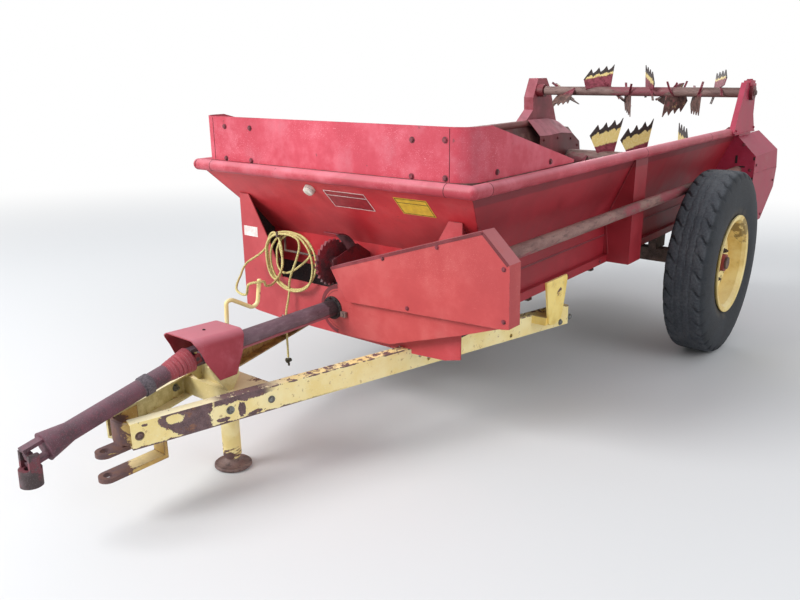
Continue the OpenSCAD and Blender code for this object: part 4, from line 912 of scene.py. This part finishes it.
def paddle_edge(shape, top, rng):
    """Toothed edge of a plate from right to left, each tooth a little bent or blunt."""
    w, foot, rise, depth, drop = shape
    pitch, fall = w / TEETH, rise / TEETH
    line = []
    for i in range(TEETH):
        blunt = 0.001 + 0.006 * rng.random()
        u, v = w / 2 - i * pitch, top - i * fall - 0.0015
        line += [(u, v - (0.0 if i else 0.002)), (u - 0.0016 - blunt * 0.3, v - blunt * 0.35)]
        if i < TEETH - 1:
            for part, share, more in ((0.4, 0.66, 0.06), (0.72, 0.95, 0.04), (0.80, 0.99, 0.0)):
                sunk = share + (more * rng.random() if more else 0.0)
                line.append((w / 2 - (i + part) * pitch, top - (i + part) * fall - sunk * depth))
    line.append((-w / 2, top - rise - drop))
    return line


def make_paddles(name, body, table, at, shape, tube_r, tip_r, look, node, seed):
    rng = random.Random(seed)
    bm = bmesh.new()
    layer = bm.verts.layers.float_vector.new("paddle")
    w, foot, rise, depth, drop = shape
    for x, turn, hand, twist in table:
        top = math.sqrt(tip_r ** 2 - (w / 2 * math.sin(math.radians(twist))) ** 2)
        edge = paddle_edge(shape, top, rng)
        below = [(u * foot / w, tube_r * 0.7) for u, v in edge]
        tone = rng.random()
        place = (Matrix.Translation((x, *at)) @ Matrix.Rotation(math.radians(turn), 4, "X")
                 @ Matrix.Diagonal((hand, 1, 1, 1)) @ Matrix.Rotation(math.radians(twist), 4, "Z"))

        def row(points, y, inset):
            made = []
            for u, v in points:
                at_edge = v - 0.0011 * inset * (v > tube_r)
                vert = bm.verts.new(place @ Vector((u * (1 - 0.011 * inset), y, at_edge)))
                vert[layer] = ((w / 2 - u) / w * TEETH, top - rise * (w / 2 - u) / w - v, tone)
                made.append(vert)
            return made

        loops = []
        for y, inset in ((-PADDLE_T / 2, 1), (-PADDLE_T / 3, 0), (PADDLE_T / 3, 0), (PADDLE_T / 2, 1)):
            upper, lower = row(edge, y, inset), row(below, y, inset)
            loops.append(upper + lower[::-1])
            if inset:
                for i in range(len(edge) - 1):
                    bm.faces.new((upper[i], upper[i + 1], lower[i + 1], lower[i]))
        skin(bm, loops, caps=False)
        for y in (-1, 1):
            bead = []
            for t in range(10):
                u = foot * (t / 9 - 0.5)
                sag = 0.5 * (u * math.sin(math.radians(twist))) ** 2 / tube_r
                bead.append(place @ Vector((u * 0.98, y * (PADDLE_T / 2 + 0.001), tube_r - 0.002 - sag)))
            before = len(bm.verts)
            tube(bm, bead, [0.0032 + 0.0014 * rng.random() for _ in bead], 6)
            bm.verts.ensure_lookup_table()
            for vert in bm.verts[before:]:
                vert[layer] = (0.5, top, tone)
    finish(bm, name, body, look, "yellow_paint", smooth_below=30.0, replaces=[node])


make_paddles("top_paddles_shape", "top_beater", TOP_PADDLES, TOP_BEATER, TOP_SHAPE, 0.031, 0.190,
             "top_paddle", "top_beater_paddles", 5)
make_paddles("main_paddles_shape", "main_beater", MAIN_PADDLES, MAIN_BEATER, MAIN_SHAPE, 0.055, 0.308,
             "main_paddle", "main_beater_paddles", 6)


# ---- Bolts, seams, blank labels

FRONT, LEFT, UP = (0, -1, 0), (1, 0, 0), (0, 0, 1)
BOARD_Y, RAIL_Z = -2.192, 1.165
# Y and Z of the front panel's foot, and how far it leans forward for each metre up
PANEL_FOOT = (-1.900, 0.840)
LEAN = 0.286 / 0.3021
SLOPE = math.atan(LEAN)


def bolts(name, look, rows, slot="red_paint", washer=True):
    """One piece of bolts; a row is place, direction, size."""
    piece(name, look, [(bolt, *row, washer) for row in rows], slot)


def on_front(x, z):
    """Matrix on the front panel's outer face at a height: X across, Y up the sheet, Z out of it."""
    y = PANEL_FOOT[0] - (z - PANEL_FOOT[1]) * LEAN
    return Matrix.Translation((x, y, z)) @ Matrix.Rotation(math.pi / 2 + SLOPE, 4, "X")


def rectangle(x0, x1, y0, y1):
    return [(x0, y0), (x1, y0), (x1, y1), (x0, y1)]


def label(name, look, place, wide, high, slot="white_plastic"):
    """Field of a blank label."""
    piece(name, look, [(plate, rectangle(-wide, wide, -high, high), 0.0008, place)], slot)


def label_lines(name, look, place, wide, high, line, header):
    """Border of a blank label, and the line under its header."""
    strips = ((-wide, wide, high - line, high), (-wide, wide, -high, -high + line),
              (-wide, -wide + line, -high, high), (wide - line, wide, -high, high),
              (-wide, wide, header, header + line))
    piece(name, look, [(plate, rectangle(*strip), 0.0012, place) for strip in strips], "white_plastic")


bolts("board_bolts", "bolt_red", [((x, BOARD_Y, z), FRONT, 0.0085) for x, z in (
    (-0.556, 1.338), (-0.393, 1.337), (-0.560, 1.201), (-0.395, 1.200),
    (0.473, 1.329), (0.616, 1.335), (0.470, 1.200), (0.618, 1.204))])
bolts("board_bolts_side", "bolt_red", [((side * 0.722, y, z), (side, 0, 0), 0.0085)
                                       for side, _ in SIDES for y, z in ((-2.02, 1.215), (-1.62, 1.213))])
label("label_front_field", "label_red", on_front(0.090, 1.0655), 0.106, 0.050, "red_paint")
label_lines("label_front_lines", "label_white", on_front(0.090, 1.0655), 0.110, 0.053, 0.003, 0.022)
label("label_side_field", "label_yellow", on_front(0.428, 1.0725), 0.078, 0.050)
label_lines("label_side_lines", "label_black", on_front(0.428, 1.0725), 0.074, 0.046, 0.0025, 0.020)
flat_front = Matrix.Rotation(math.pi / 2, 4, "X")
label("label_wall", "label_white", Matrix.Translation((-0.5575, -2.085, 0.856)) @ flat_front, 0.046, 0.023)
piece("board_seams", "gap", [
    (slab, (x - 0.0008, BOARD_Y - 0.0008, 1.1905), (x + 0.0008, BOARD_Y + 0.002, 1.3745))
    for x in (0.635, -0.635)])
piece("rail_seams", "gap", [
    (cylinder, (x - 0.0012, -2.206, RAIL_Z), LEFT, 0.0254, 0.0024, 28) for x in (-0.636, 0.636)] + [
    (cylinder, (x, y - 0.0012, RAIL_Z), (0, 1, 0), 0.0254, 0.0024, 28)
    for x in (-0.740, 0.740) for y in (-2.110, -0.690, 0.300)])
piece("front_lip", "front", [(slab, (-0.729, -2.1865, 1.1395), (0.729, -2.1800, 1.1610), 0.001)])


# ---- Sheets that close the beaters' ends and the front wall's opening

END_X, FLARE_X, GUSSET_X = 0.597, 0.718, 0.604
# Y and Z of the fold between end plate and flare, and of the flare's upper edge
FOLD = [(0.742, 1.081), (0.870, 1.076), (1.080, 1.083), (1.270, 1.065), (1.395, 0.997)]
FLARE_TOP = [(0.765, 1.192), (0.930, 1.190), (1.060, 1.188), (1.200, 1.168), (1.265, 1.148)]
END_BOLTS = ((0.80, 1.05), (1.02, 1.05), (1.24, 1.03), (1.36, 0.97), (1.38, 0.86))
for side, name in SIDES:
    piece(f"beater_end_{name}", "lip",
          [upright(side * END_X, FOLD + [(1.420, 0.900), (1.420, 0.745), (0.742, 0.745)], side * -0.003)]
          + [(bolt, (side * (END_X - 0.003), y, z), (-side, 0, 0), 0.009) for y, z in END_BOLTS])
    piece(f"beater_flare_{name}", "house",
          [(sheet, [(side * END_X, *a), (side * END_X, *b), (side * FLARE_X, *c), (side * FLARE_X, *d)],
            (side * -0.0015, 0, 0.003)) for a, b, c, d in zip(FOLD, FOLD[1:], FLARE_TOP[1:], FLARE_TOP)])
    # Inner gusset sheets in near black: painted shade between the front wall and the side panel, over caked
    # dirt.
    piece(f"front_gusset_{name}", "dark_dirt_and_shade", [upright(side * GUSSET_X, outline, side * 0.003) for outline in (
        [(-2.079, 1.026), (-1.866, 0.842), (-1.866, 0.600), (-2.079, 0.600)],
        [(-2.079, 0.600), (-1.800, 0.600), (-1.800, 0.575), (-2.079, 0.575)])])
    piece(f"front_gusset_skin_{name}", "side", [upright(
        side * (GUSSET_X + 0.0032), [(-2.079, 1.026), (-1.866, 0.842), (-1.866, 0.657), (-2.079, 0.657)],
        side * 0.0015)])
# Near-black plate across the front below the floor: painted shade for the dark space under the box.
piece("chain_guard_front", "dark_dirt_and_shade", [(slab, (-0.574, -1.8835, 0.566), (0.574, -1.880, 0.684)),
                                     (slab, (-0.574, -1.8835, 0.566), (0.574, -1.868, 0.570))], "rusty_steel")


# ---- Drawbar fittings

LEG_OUT = (LEG_DIR[1], -LEG_DIR[0])


def on_leg(side, along, height, out=0.0):
    """Place on a drawbar leg's outer face, at a distance along it and a height above its lower face."""
    x, y = (LEG_START[i] + LEG_DIR[i] * along + LEG_OUT[i] * out for i in (0, 1))
    return Vector((side * x, y, LEG_Z + height))


leg_bolts, pins = [], []
for side, _ in SIDES:
    out = Vector((side * LEG_OUT[0], LEG_OUT[1], 0))
    for along, height, size in ((0.343, 0.046, 0.0105), (0.502, 0.043, 0.0095)):
        place, inner = on_leg(side, along, height), on_leg(side, along, height, -0.0071)
        leg_bolts += [
            (cylinder, place, out, size * 1.42, 0.003, 24), (bolt, place + out * 0.002, out, size, False),
            (cylinder, inner, -out, size * 1.42, 0.003, 24),
            (cylinder, inner - out * 0.003, -out, size, 0.009, 6),
            (cylinder, inner - out * 0.012, -out, size * 0.5, 0.006, 12)]
    place = on_leg(side, 0.026, 0.044, -0.010)
    pins += [(cylinder, place, out, 0.0155, 0.0035, 24), (bolt, place + out * 0.0035, out, 0.0095, False)]
piece("drawbar_bolts", "bolt", leg_bolts, "rusty_steel")
piece("nose_pins", "foot", pins, "rusty_steel")

# Jack's crank: one bar with round bends, its handle a little thicker; Y and Z of its corners
CRANK = [(-2.668, 0.500), (-2.655, 0.746), (-2.631, 0.750), (-2.532, 0.694), (-2.505, 0.705), (-2.489, 0.796)]
CRANK_X, CRANK_BEND = -0.048, 0.016
corners = [Vector((CRANK_X, y, z)) for y, z in CRANK]
line = [corners[0]]
for before, here, after in zip(corners, corners[1:], corners[2:]):
    cut = min(CRANK_BEND, (before - here).length * 0.45, (after - here).length * 0.45)
    a, b = (here + (p - here).normalized() * cut for p in (before, after))
    line += [a.lerp(here, k / 6).lerp(here.lerp(b, k / 6), k / 6) for k in range(7)]
line.append(corners[-1])
piece("crank_bar", "crank", [
    (tube, line, [0.008 if p.z < 0.720 or p.y < -2.60 else 0.0088 for p in line], 14),
    (cylinder, line[-1], (0, 0.17, 0.98), 0.0088, 0.003, 14, 0.006),
    (slab, (-0.0625, -2.688, 0.470), (-0.0335, -2.644, 0.508), 0.004),
    (cylinder, (CRANK_X, -2.668, 0.508), UP, 0.013, 0.010, 20, 0.011)],
      "yellow_paint", replaces=["jack_crank"])

# Cap on the front panel: a turned plug with a dark groove
start = on_front(-0.090, PANEL_FOOT[1] + 0.250 / LEAN).translation
out = Vector((0, -math.cos(SLOPE), -math.sin(SLOPE)))
piece("cap_turned", "white", [
    (cylinder, start + out * at, out, wide, high, 32, top) for at, wide, high, top in (
        (0.0, 0.024, 0.012, None), (0.014, 0.0235, 0.008, 0.022), (0.022, 0.022, 0.003, 0.018))],
      "white_plastic", replaces=["front_cap"])
piece("cap_groove", "label_black",
      [(cylinder, start + out * 0.0118, out, 0.0215, 0.0024, 32)], "white_plastic")


# ---- Shield, pan and tube end


def arc_strip(bm, centre, radius, width, y, thick, start, end, steps=40):
    """Flat ring, or part of one, in a plane across the machine."""
    section = ((radius - width, y), (radius, y), (radius, y - thick), (radius - width, y - thick))
    rings = []
    for i in range(steps + 1):
        a = math.radians(start + (end - start) * i / steps)
        rings.append([bm.verts.new((centre[0] + r * math.cos(a), at, centre[1] + r * math.sin(a)))
                      for r, at in section])
    skin(bm, rings)


piece("pan_ring", "lip", [(arc_strip, (0.040, 0.600), 0.1075, 0.016, -2.135, 0.0015, 96, 262),
                          (arc_strip, (0.040, 0.600), 0.0835, 0.002, -2.135, 0.0010, 96, 262)])
seal = [(arc_strip, (0.0, 0.602), 0.050, 0.0145, -2.1352, 0.006, 0, 359.9, 48)]
for i in range(9):
    a = math.radians(20 + 40 * i)
    seal.append((cylinder, (0.043 * math.cos(a), -2.139, 0.602 + 0.043 * math.sin(a)), FRONT, 0.006,
                 0.006 + 0.003 * (i % 3), 9, 0.003))
piece("tube_seal", "dark_dirt_and_shade", seal, "dark_tube")
piece("tube_clamp", "foot", [(slab, (0.052, -2.150, 0.574), (0.082, -2.135, 0.598), 0.003),
                             (bolt, (0.067, -2.150, 0.586), FRONT, 0.008, False)], "rusty_steel")
# Double sheet along the shield's upper edges
hem = []
for ends in (((0.015, 0.787), (0.756, 1.029)), ((0.756, 1.029), (0.868, 0.922))):
    a, b = (Vector((x, -2.1602, z)) for x, z in ends)
    d = (b - a).normalized()
    inner = Vector((d.z, 0, -d.x)) * 0.012
    a, b = a + d * 0.002, b - d * 0.002
    hem.append((sheet, [a, b, b + inner, a + inner], (0, -0.0012, 0)))
piece("shield_hem", "lip", hem)
bolts("shield_bolts", "bolt_red", [((x, -2.160, z), FRONT, 0.0065) for x, z in (
    (0.30, 0.865), (0.56, 0.945), (0.845, 0.905), (0.85, 0.715), (0.42, 0.684))])
bolts("hood_bolts", "gap", [((0.0, -2.800, 0.6865), (0, 0.05, 1), 0.006)], "rusty_steel", washer=False)


# ---- Wheels and the sides' fittings

NUT_CIRCLE, VALVE_CIRCLE, VALVE_TURN = 0.098, 0.222, 2.2
for side, name in SIDES:
    out, nuts = (side, 0, 0), []
    for i in range(6):
        a = math.radians(30 + 60 * i)
        y, z = NUT_CIRCLE * math.cos(a), AXLE_Z + NUT_CIRCLE * math.sin(a)
        nuts += [(cylinder, (side * (WHEEL_X + x), y, z), out, *size) for x, *size in (
            (0.0325, 0.0145, 0.003, 20), (0.0350, 0.0115, 0.012, 6), (0.0470, 0.0062, 0.008, 12))]
    piece(f"wheel_nuts_{name}", "yoke", nuts, "rusty_steel", f"wheel_{name}")
    y, z = VALVE_CIRCLE * math.cos(VALVE_TURN), AXLE_Z + VALVE_CIRCLE * math.sin(VALVE_TURN)
    valve = [(tube, [(side * (WHEEL_X + 0.002 + x), y, z) for x in run], r)
             for run, r in (((-0.002, 0.012, 0.030), 0.0055), ((0.030, 0.040), 0.0042))]
    piece(f"tyre_valve_{name}", "bolt", valve, "rusty_steel", f"wheel_{name}")
    bolts(f"hanger_bolts_{name}", "bolt",
          [((side * 0.662, y, z), out, 0.011) for y, z in ((-1.337, 0.454), (-1.244, 0.457))], "rusty_steel")
    bolts(f"sill_bolts_{name}", "bolt_red", [
        ((side * 0.6222, y, 0.636), out, 0.007) for y in (-1.90, -1.20, -0.85, -0.55, 0.45, 0.90)], washer=False)
    welds = []
    for y in (-0.7665, -0.6105):
        foot, fold, high, head = (Vector((side * x, y, z)) for x, z in (
            (0.626, 0.66), (0.604, 0.838), (0.604, 0.842), (0.728, 1.125)))
        path = [foot.lerp(fold, t) for t in (0.0, 0.5, 1.0)]
        path += [high.lerp(head, t) for t in (0.0, 0.33, 0.66, 1.0)]
        welds.append((tube, path, 0.0028, 8))
    piece(f"post_welds_{name}", "side", welds)
    piece(f"side_rib_{name}", "lip", [
        (tube, [(side * 0.6005, y0 + (y1 - y0) * t / 4, 0.754) for t in range(5)], 0.0042)
        for y0, y1 in ((-1.864, -0.772), (-0.606, 1.370))])


# ---- Jack foot: a pressed dish with a raised rim and a boss

# Columns: share of the foot's radius, share of its height
DISH = [(0.94, 0.0), (1.0, 0.10), (1.0, 0.30), (0.96, 0.38), (0.88, 0.30), (0.62, 0.36), (0.44, 0.52),
        (0.36, 0.80), (0.34, 1.0)]
DISH_SIDES = 48
foot_low, foot_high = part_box("jack_foot")
foot_r, tall = (foot_high.x - foot_low.x) / 2, foot_high.z - foot_low.z
centre = (foot_low + foot_high) / 2
centre.z = foot_low.z
bm = bmesh.new()
skin(bm, [[bm.verts.new(centre + Vector((foot_r * r * math.cos(a), foot_r * r * math.sin(a), tall * h)))
           for a in (2 * math.pi * k / DISH_SIDES for k in range(DISH_SIDES))] for r, h in DISH])
finish(bm, "jack_foot_dish", "jack_leg", "foot", "rusty_steel", parked=False, smooth_below=50.0,
       replaces=["jack_foot"])


# ---- Rear post's cap, its foot on the rail, and the rear shield's slots and fold

piece("post_cap_left", "rear", [
    (slab, (0.739, 0.905, 1.440), (0.783, 1.015, 1.476), 0.004),
    (slab, (0.722, 0.700, 1.1495), (0.779, 1.150, 1.1565), 0.002),
    (slab, (0.741, 0.897, 1.128), (0.752, 1.160, 1.152), 0.001)]
      + [(bolt, (0.761, y, 1.476), UP, 0.0105) for y in (0.928, 0.992)]
      + [(bolt, (0.7776, y, 1.175), LEFT, 0.008, False) for y in (0.73, 1.12)])
piece("post_stub_left", "foot", [
    (cylinder, (0.797, *TOP_BEATER), LEFT, 0.020, 0.004, 24),
    (cylinder, (0.801, *TOP_BEATER), LEFT, 0.0165, 0.010, 20, 0.014)], "rusty_steel")
# Dark slabs for the rear shield's open slots: painted shade of the space behind them.
piece("rear_shield_slots", "gap", [
    (slab, (x0, 0.8865, z0), (x1, 0.8892, z1), bevel) for x0, x1, z0, z1, bevel in (
        (0.858, 0.868, 0.985, 1.005, 0.0), (0.858, 0.868, 0.815, 0.875, 0.0),
        (0.748, 0.762, 0.960, 1.010, 0.001), (0.772, 0.812, 0.935, 0.944, 0.001))])
piece("rear_shield_fold", "rear", [
    upright(0.8701, [(0.900, 0.902), (1.478, 0.886), (1.478, 0.882), (0.900, 0.898)], 0.0022)])
bolts("rear_shield_bolts", "bolt_red",
      [((0.870, y, z), LEFT, 0.0075) for y, z in ((0.925, 0.62), (0.925, 0.95), (1.41, 0.80), (1.18, 0.595))]
      + [((x, 0.889, z), FRONT, 0.0075) for x, z in ((0.790, 1.08), (0.845, 0.92), (0.800, 0.62))])


# ---- Floor planks, chains and slats

PLANK_EDGES = (-0.594, -0.444, -0.296, -0.148, 0.0, 0.148, 0.296, 0.444, 0.594)
PLANK_GAP = 0.0015
CHAIN_X, CHAIN_R, CHAIN_Z = 0.380, 0.057, 0.640
CHAIN_Y = (-1.800, 0.790)
STRAIGHT = CHAIN_Y[1] - CHAIN_Y[0]
CHAIN_LOOP = 2 * (STRAIGHT + math.pi * CHAIN_R)
LINKS = 132
LINK = CHAIN_LOOP / LINKS
SLATS, SLAT_PITCH = 8, 0.324

boards = []
for x0, x1 in zip(PLANK_EDGES, PLANK_EDGES[1:]):
    x0, x1 = x0 + PLANK_GAP, x1 - PLANK_GAP
    mid = math.copysign(CHAIN_X, x0 + x1)
    strips, bevel = [(x0, x1, 0.0)], 0.0012
    if x0 < mid < x1:
        # The plank under a chain is cut short where the chain turns
        left, right_edge = mid - 0.025, mid + 0.025
        strips, bevel = [(x0, left, 0.0), (left, right_edge, 0.060), (right_edge, x1, 0.0)], 0.0
    boards += [(slab, (a, -1.798 + cut, 0.6845), (b, 0.788 - cut, 0.6895), bevel) for a, b, cut in strips]
piece("floor_boards", "wood", boards, "rusty_steel", replaces=["box_floor"])


def chain_place(run):
    """Place and direction, in Y and Z, at a distance along the chain's middle line."""
    way = 1 if run < CHAIN_LOOP / 2 else -1
    start, end = CHAIN_Y[::way]
    run %= CHAIN_LOOP / 2
    if run < STRAIGHT:
        return (start + way * run, CHAIN_Z + way * CHAIN_R), (way, 0.0)
    a = way * math.pi / 2 - (run - STRAIGHT) / CHAIN_R
    return (end + CHAIN_R * math.cos(a), CHAIN_Z + CHAIN_R * math.sin(a)), (math.sin(a), -math.cos(a))


bm = bmesh.new()
for side, _ in SIDES:
    for i in range(LINKS):
        (y, z), (dy, dz) = chain_place(LINK * i)
        link = Matrix(((1, 0, 0, side * CHAIN_X), (0, dy, -dz, y), (0, dz, dy, z), (0, 0, 0, 1)))
        for x in (-0.0095, 0.0095):
            bmesh.ops.create_cube(bm, size=1.0, matrix=link @ Matrix.Translation((x, 0, 0))
                                  @ Matrix.Diagonal((0.005, LINK * 0.94, 0.0105, 1)))
        cylinder(bm, link @ Vector((-0.0115, LINK * -0.39, 0)), LEFT, 0.0062, 0.023, 8)
finish(bm, "apron_links", "frame", "chain", "rusty_steel", replaces=["apron"])
slats = []
for i in range(SLATS):
    y = -1.780 + SLAT_PITCH * i
    for low, high in ((0.7045, 0.7155), (0.5645, 0.5755)):
        slats += [(slab, (-0.560, y, low), (0.560, y + 0.032, low + 0.0035)),
                  (slab, (-0.560, y, low), (0.560, y + 0.0035, high)),
                  (slab, (-0.560, y + 0.0285, low), (0.560, y + 0.032, high))]
        slats += [(bolt, (x, y + 0.016, low + 0.003), UP, 0.0065, False) for x in (-CHAIN_X, CHAIN_X)]
piece("apron_slats", "steel", slats, "rusty_steel")


# ---- Stage and light

FLOOR_HALF, FLOOR_Z = 60, -0.002
WHITE = (1, 1, 1, 1)
floor_mesh = bpy.data.meshes.new("floor")
corners = [(x * FLOOR_HALF, y * FLOOR_HALF, FLOOR_Z) for x, y in ((-1, -1), (1, -1), (1, 1), (-1, 1))]
floor_mesh.from_pydata(corners, [], [(0, 1, 2, 3)])
floor = bpy.data.objects.new("floor", floor_mesh)
scene.collection.objects.link(floor)
ground = Shader("floor_pale", 0.9)
ground.put(ground.bsdf.inputs["Base Color"], "#d9dadb")
away = ground.new("VectorMath", {0: ground.co}, operation="LENGTH").outputs["Value"]
glow = ground.new("Emission", {"Color": WHITE}).outputs[0]
faded = ground.step(away, 4.0, 9.0) * ground.seen()
blend = ground.new("MixShader", {0: faded, 1: ground.bsdf.outputs[0], 2: glow})
ground.put(ground.out.inputs[0], blend.outputs[0])
floor_mesh.materials.append(ground.mat)

world = bpy.data.worlds.new("studio")
scene.world = world
sky = Tree(world)
dim = sky.new("Background", {"Color": (0.93, 0.96, 1.0, 1), "Strength": 0.62}).outputs[0]
bright = sky.new("Background", {"Color": WHITE, "Strength": 1.0}).outputs[0]
blend = sky.new("MixShader", {0: sky.seen(), 1: dim, 2: bright}).outputs[0]
sky.new("OutputWorld", {0: blend})


def area(name, place, aim, size, power):
    data = bpy.data.lights.new(name, "AREA")
    data.shape = "DISK"
    data.size = size
    data.energy = power
    lamp = bpy.data.objects.new(name, data)
    scene.collection.objects.link(lamp)
    lamp.location = place
    lamp.rotation_euler = (Vector(aim) - Vector(place)).to_track_quat("-Z", "Y").to_euler()


area("key", (-3.2, -8.0, 5.2), (0, 0, 0.7), 4.5, 850)
area("fill", (7.0, -1.0, 4.5), (0, 0.3, 0.7), 5.0, 130)
area("back", (-4.0, 7.5, 4.0), (0, 0, 0.8), 5.0, 220)
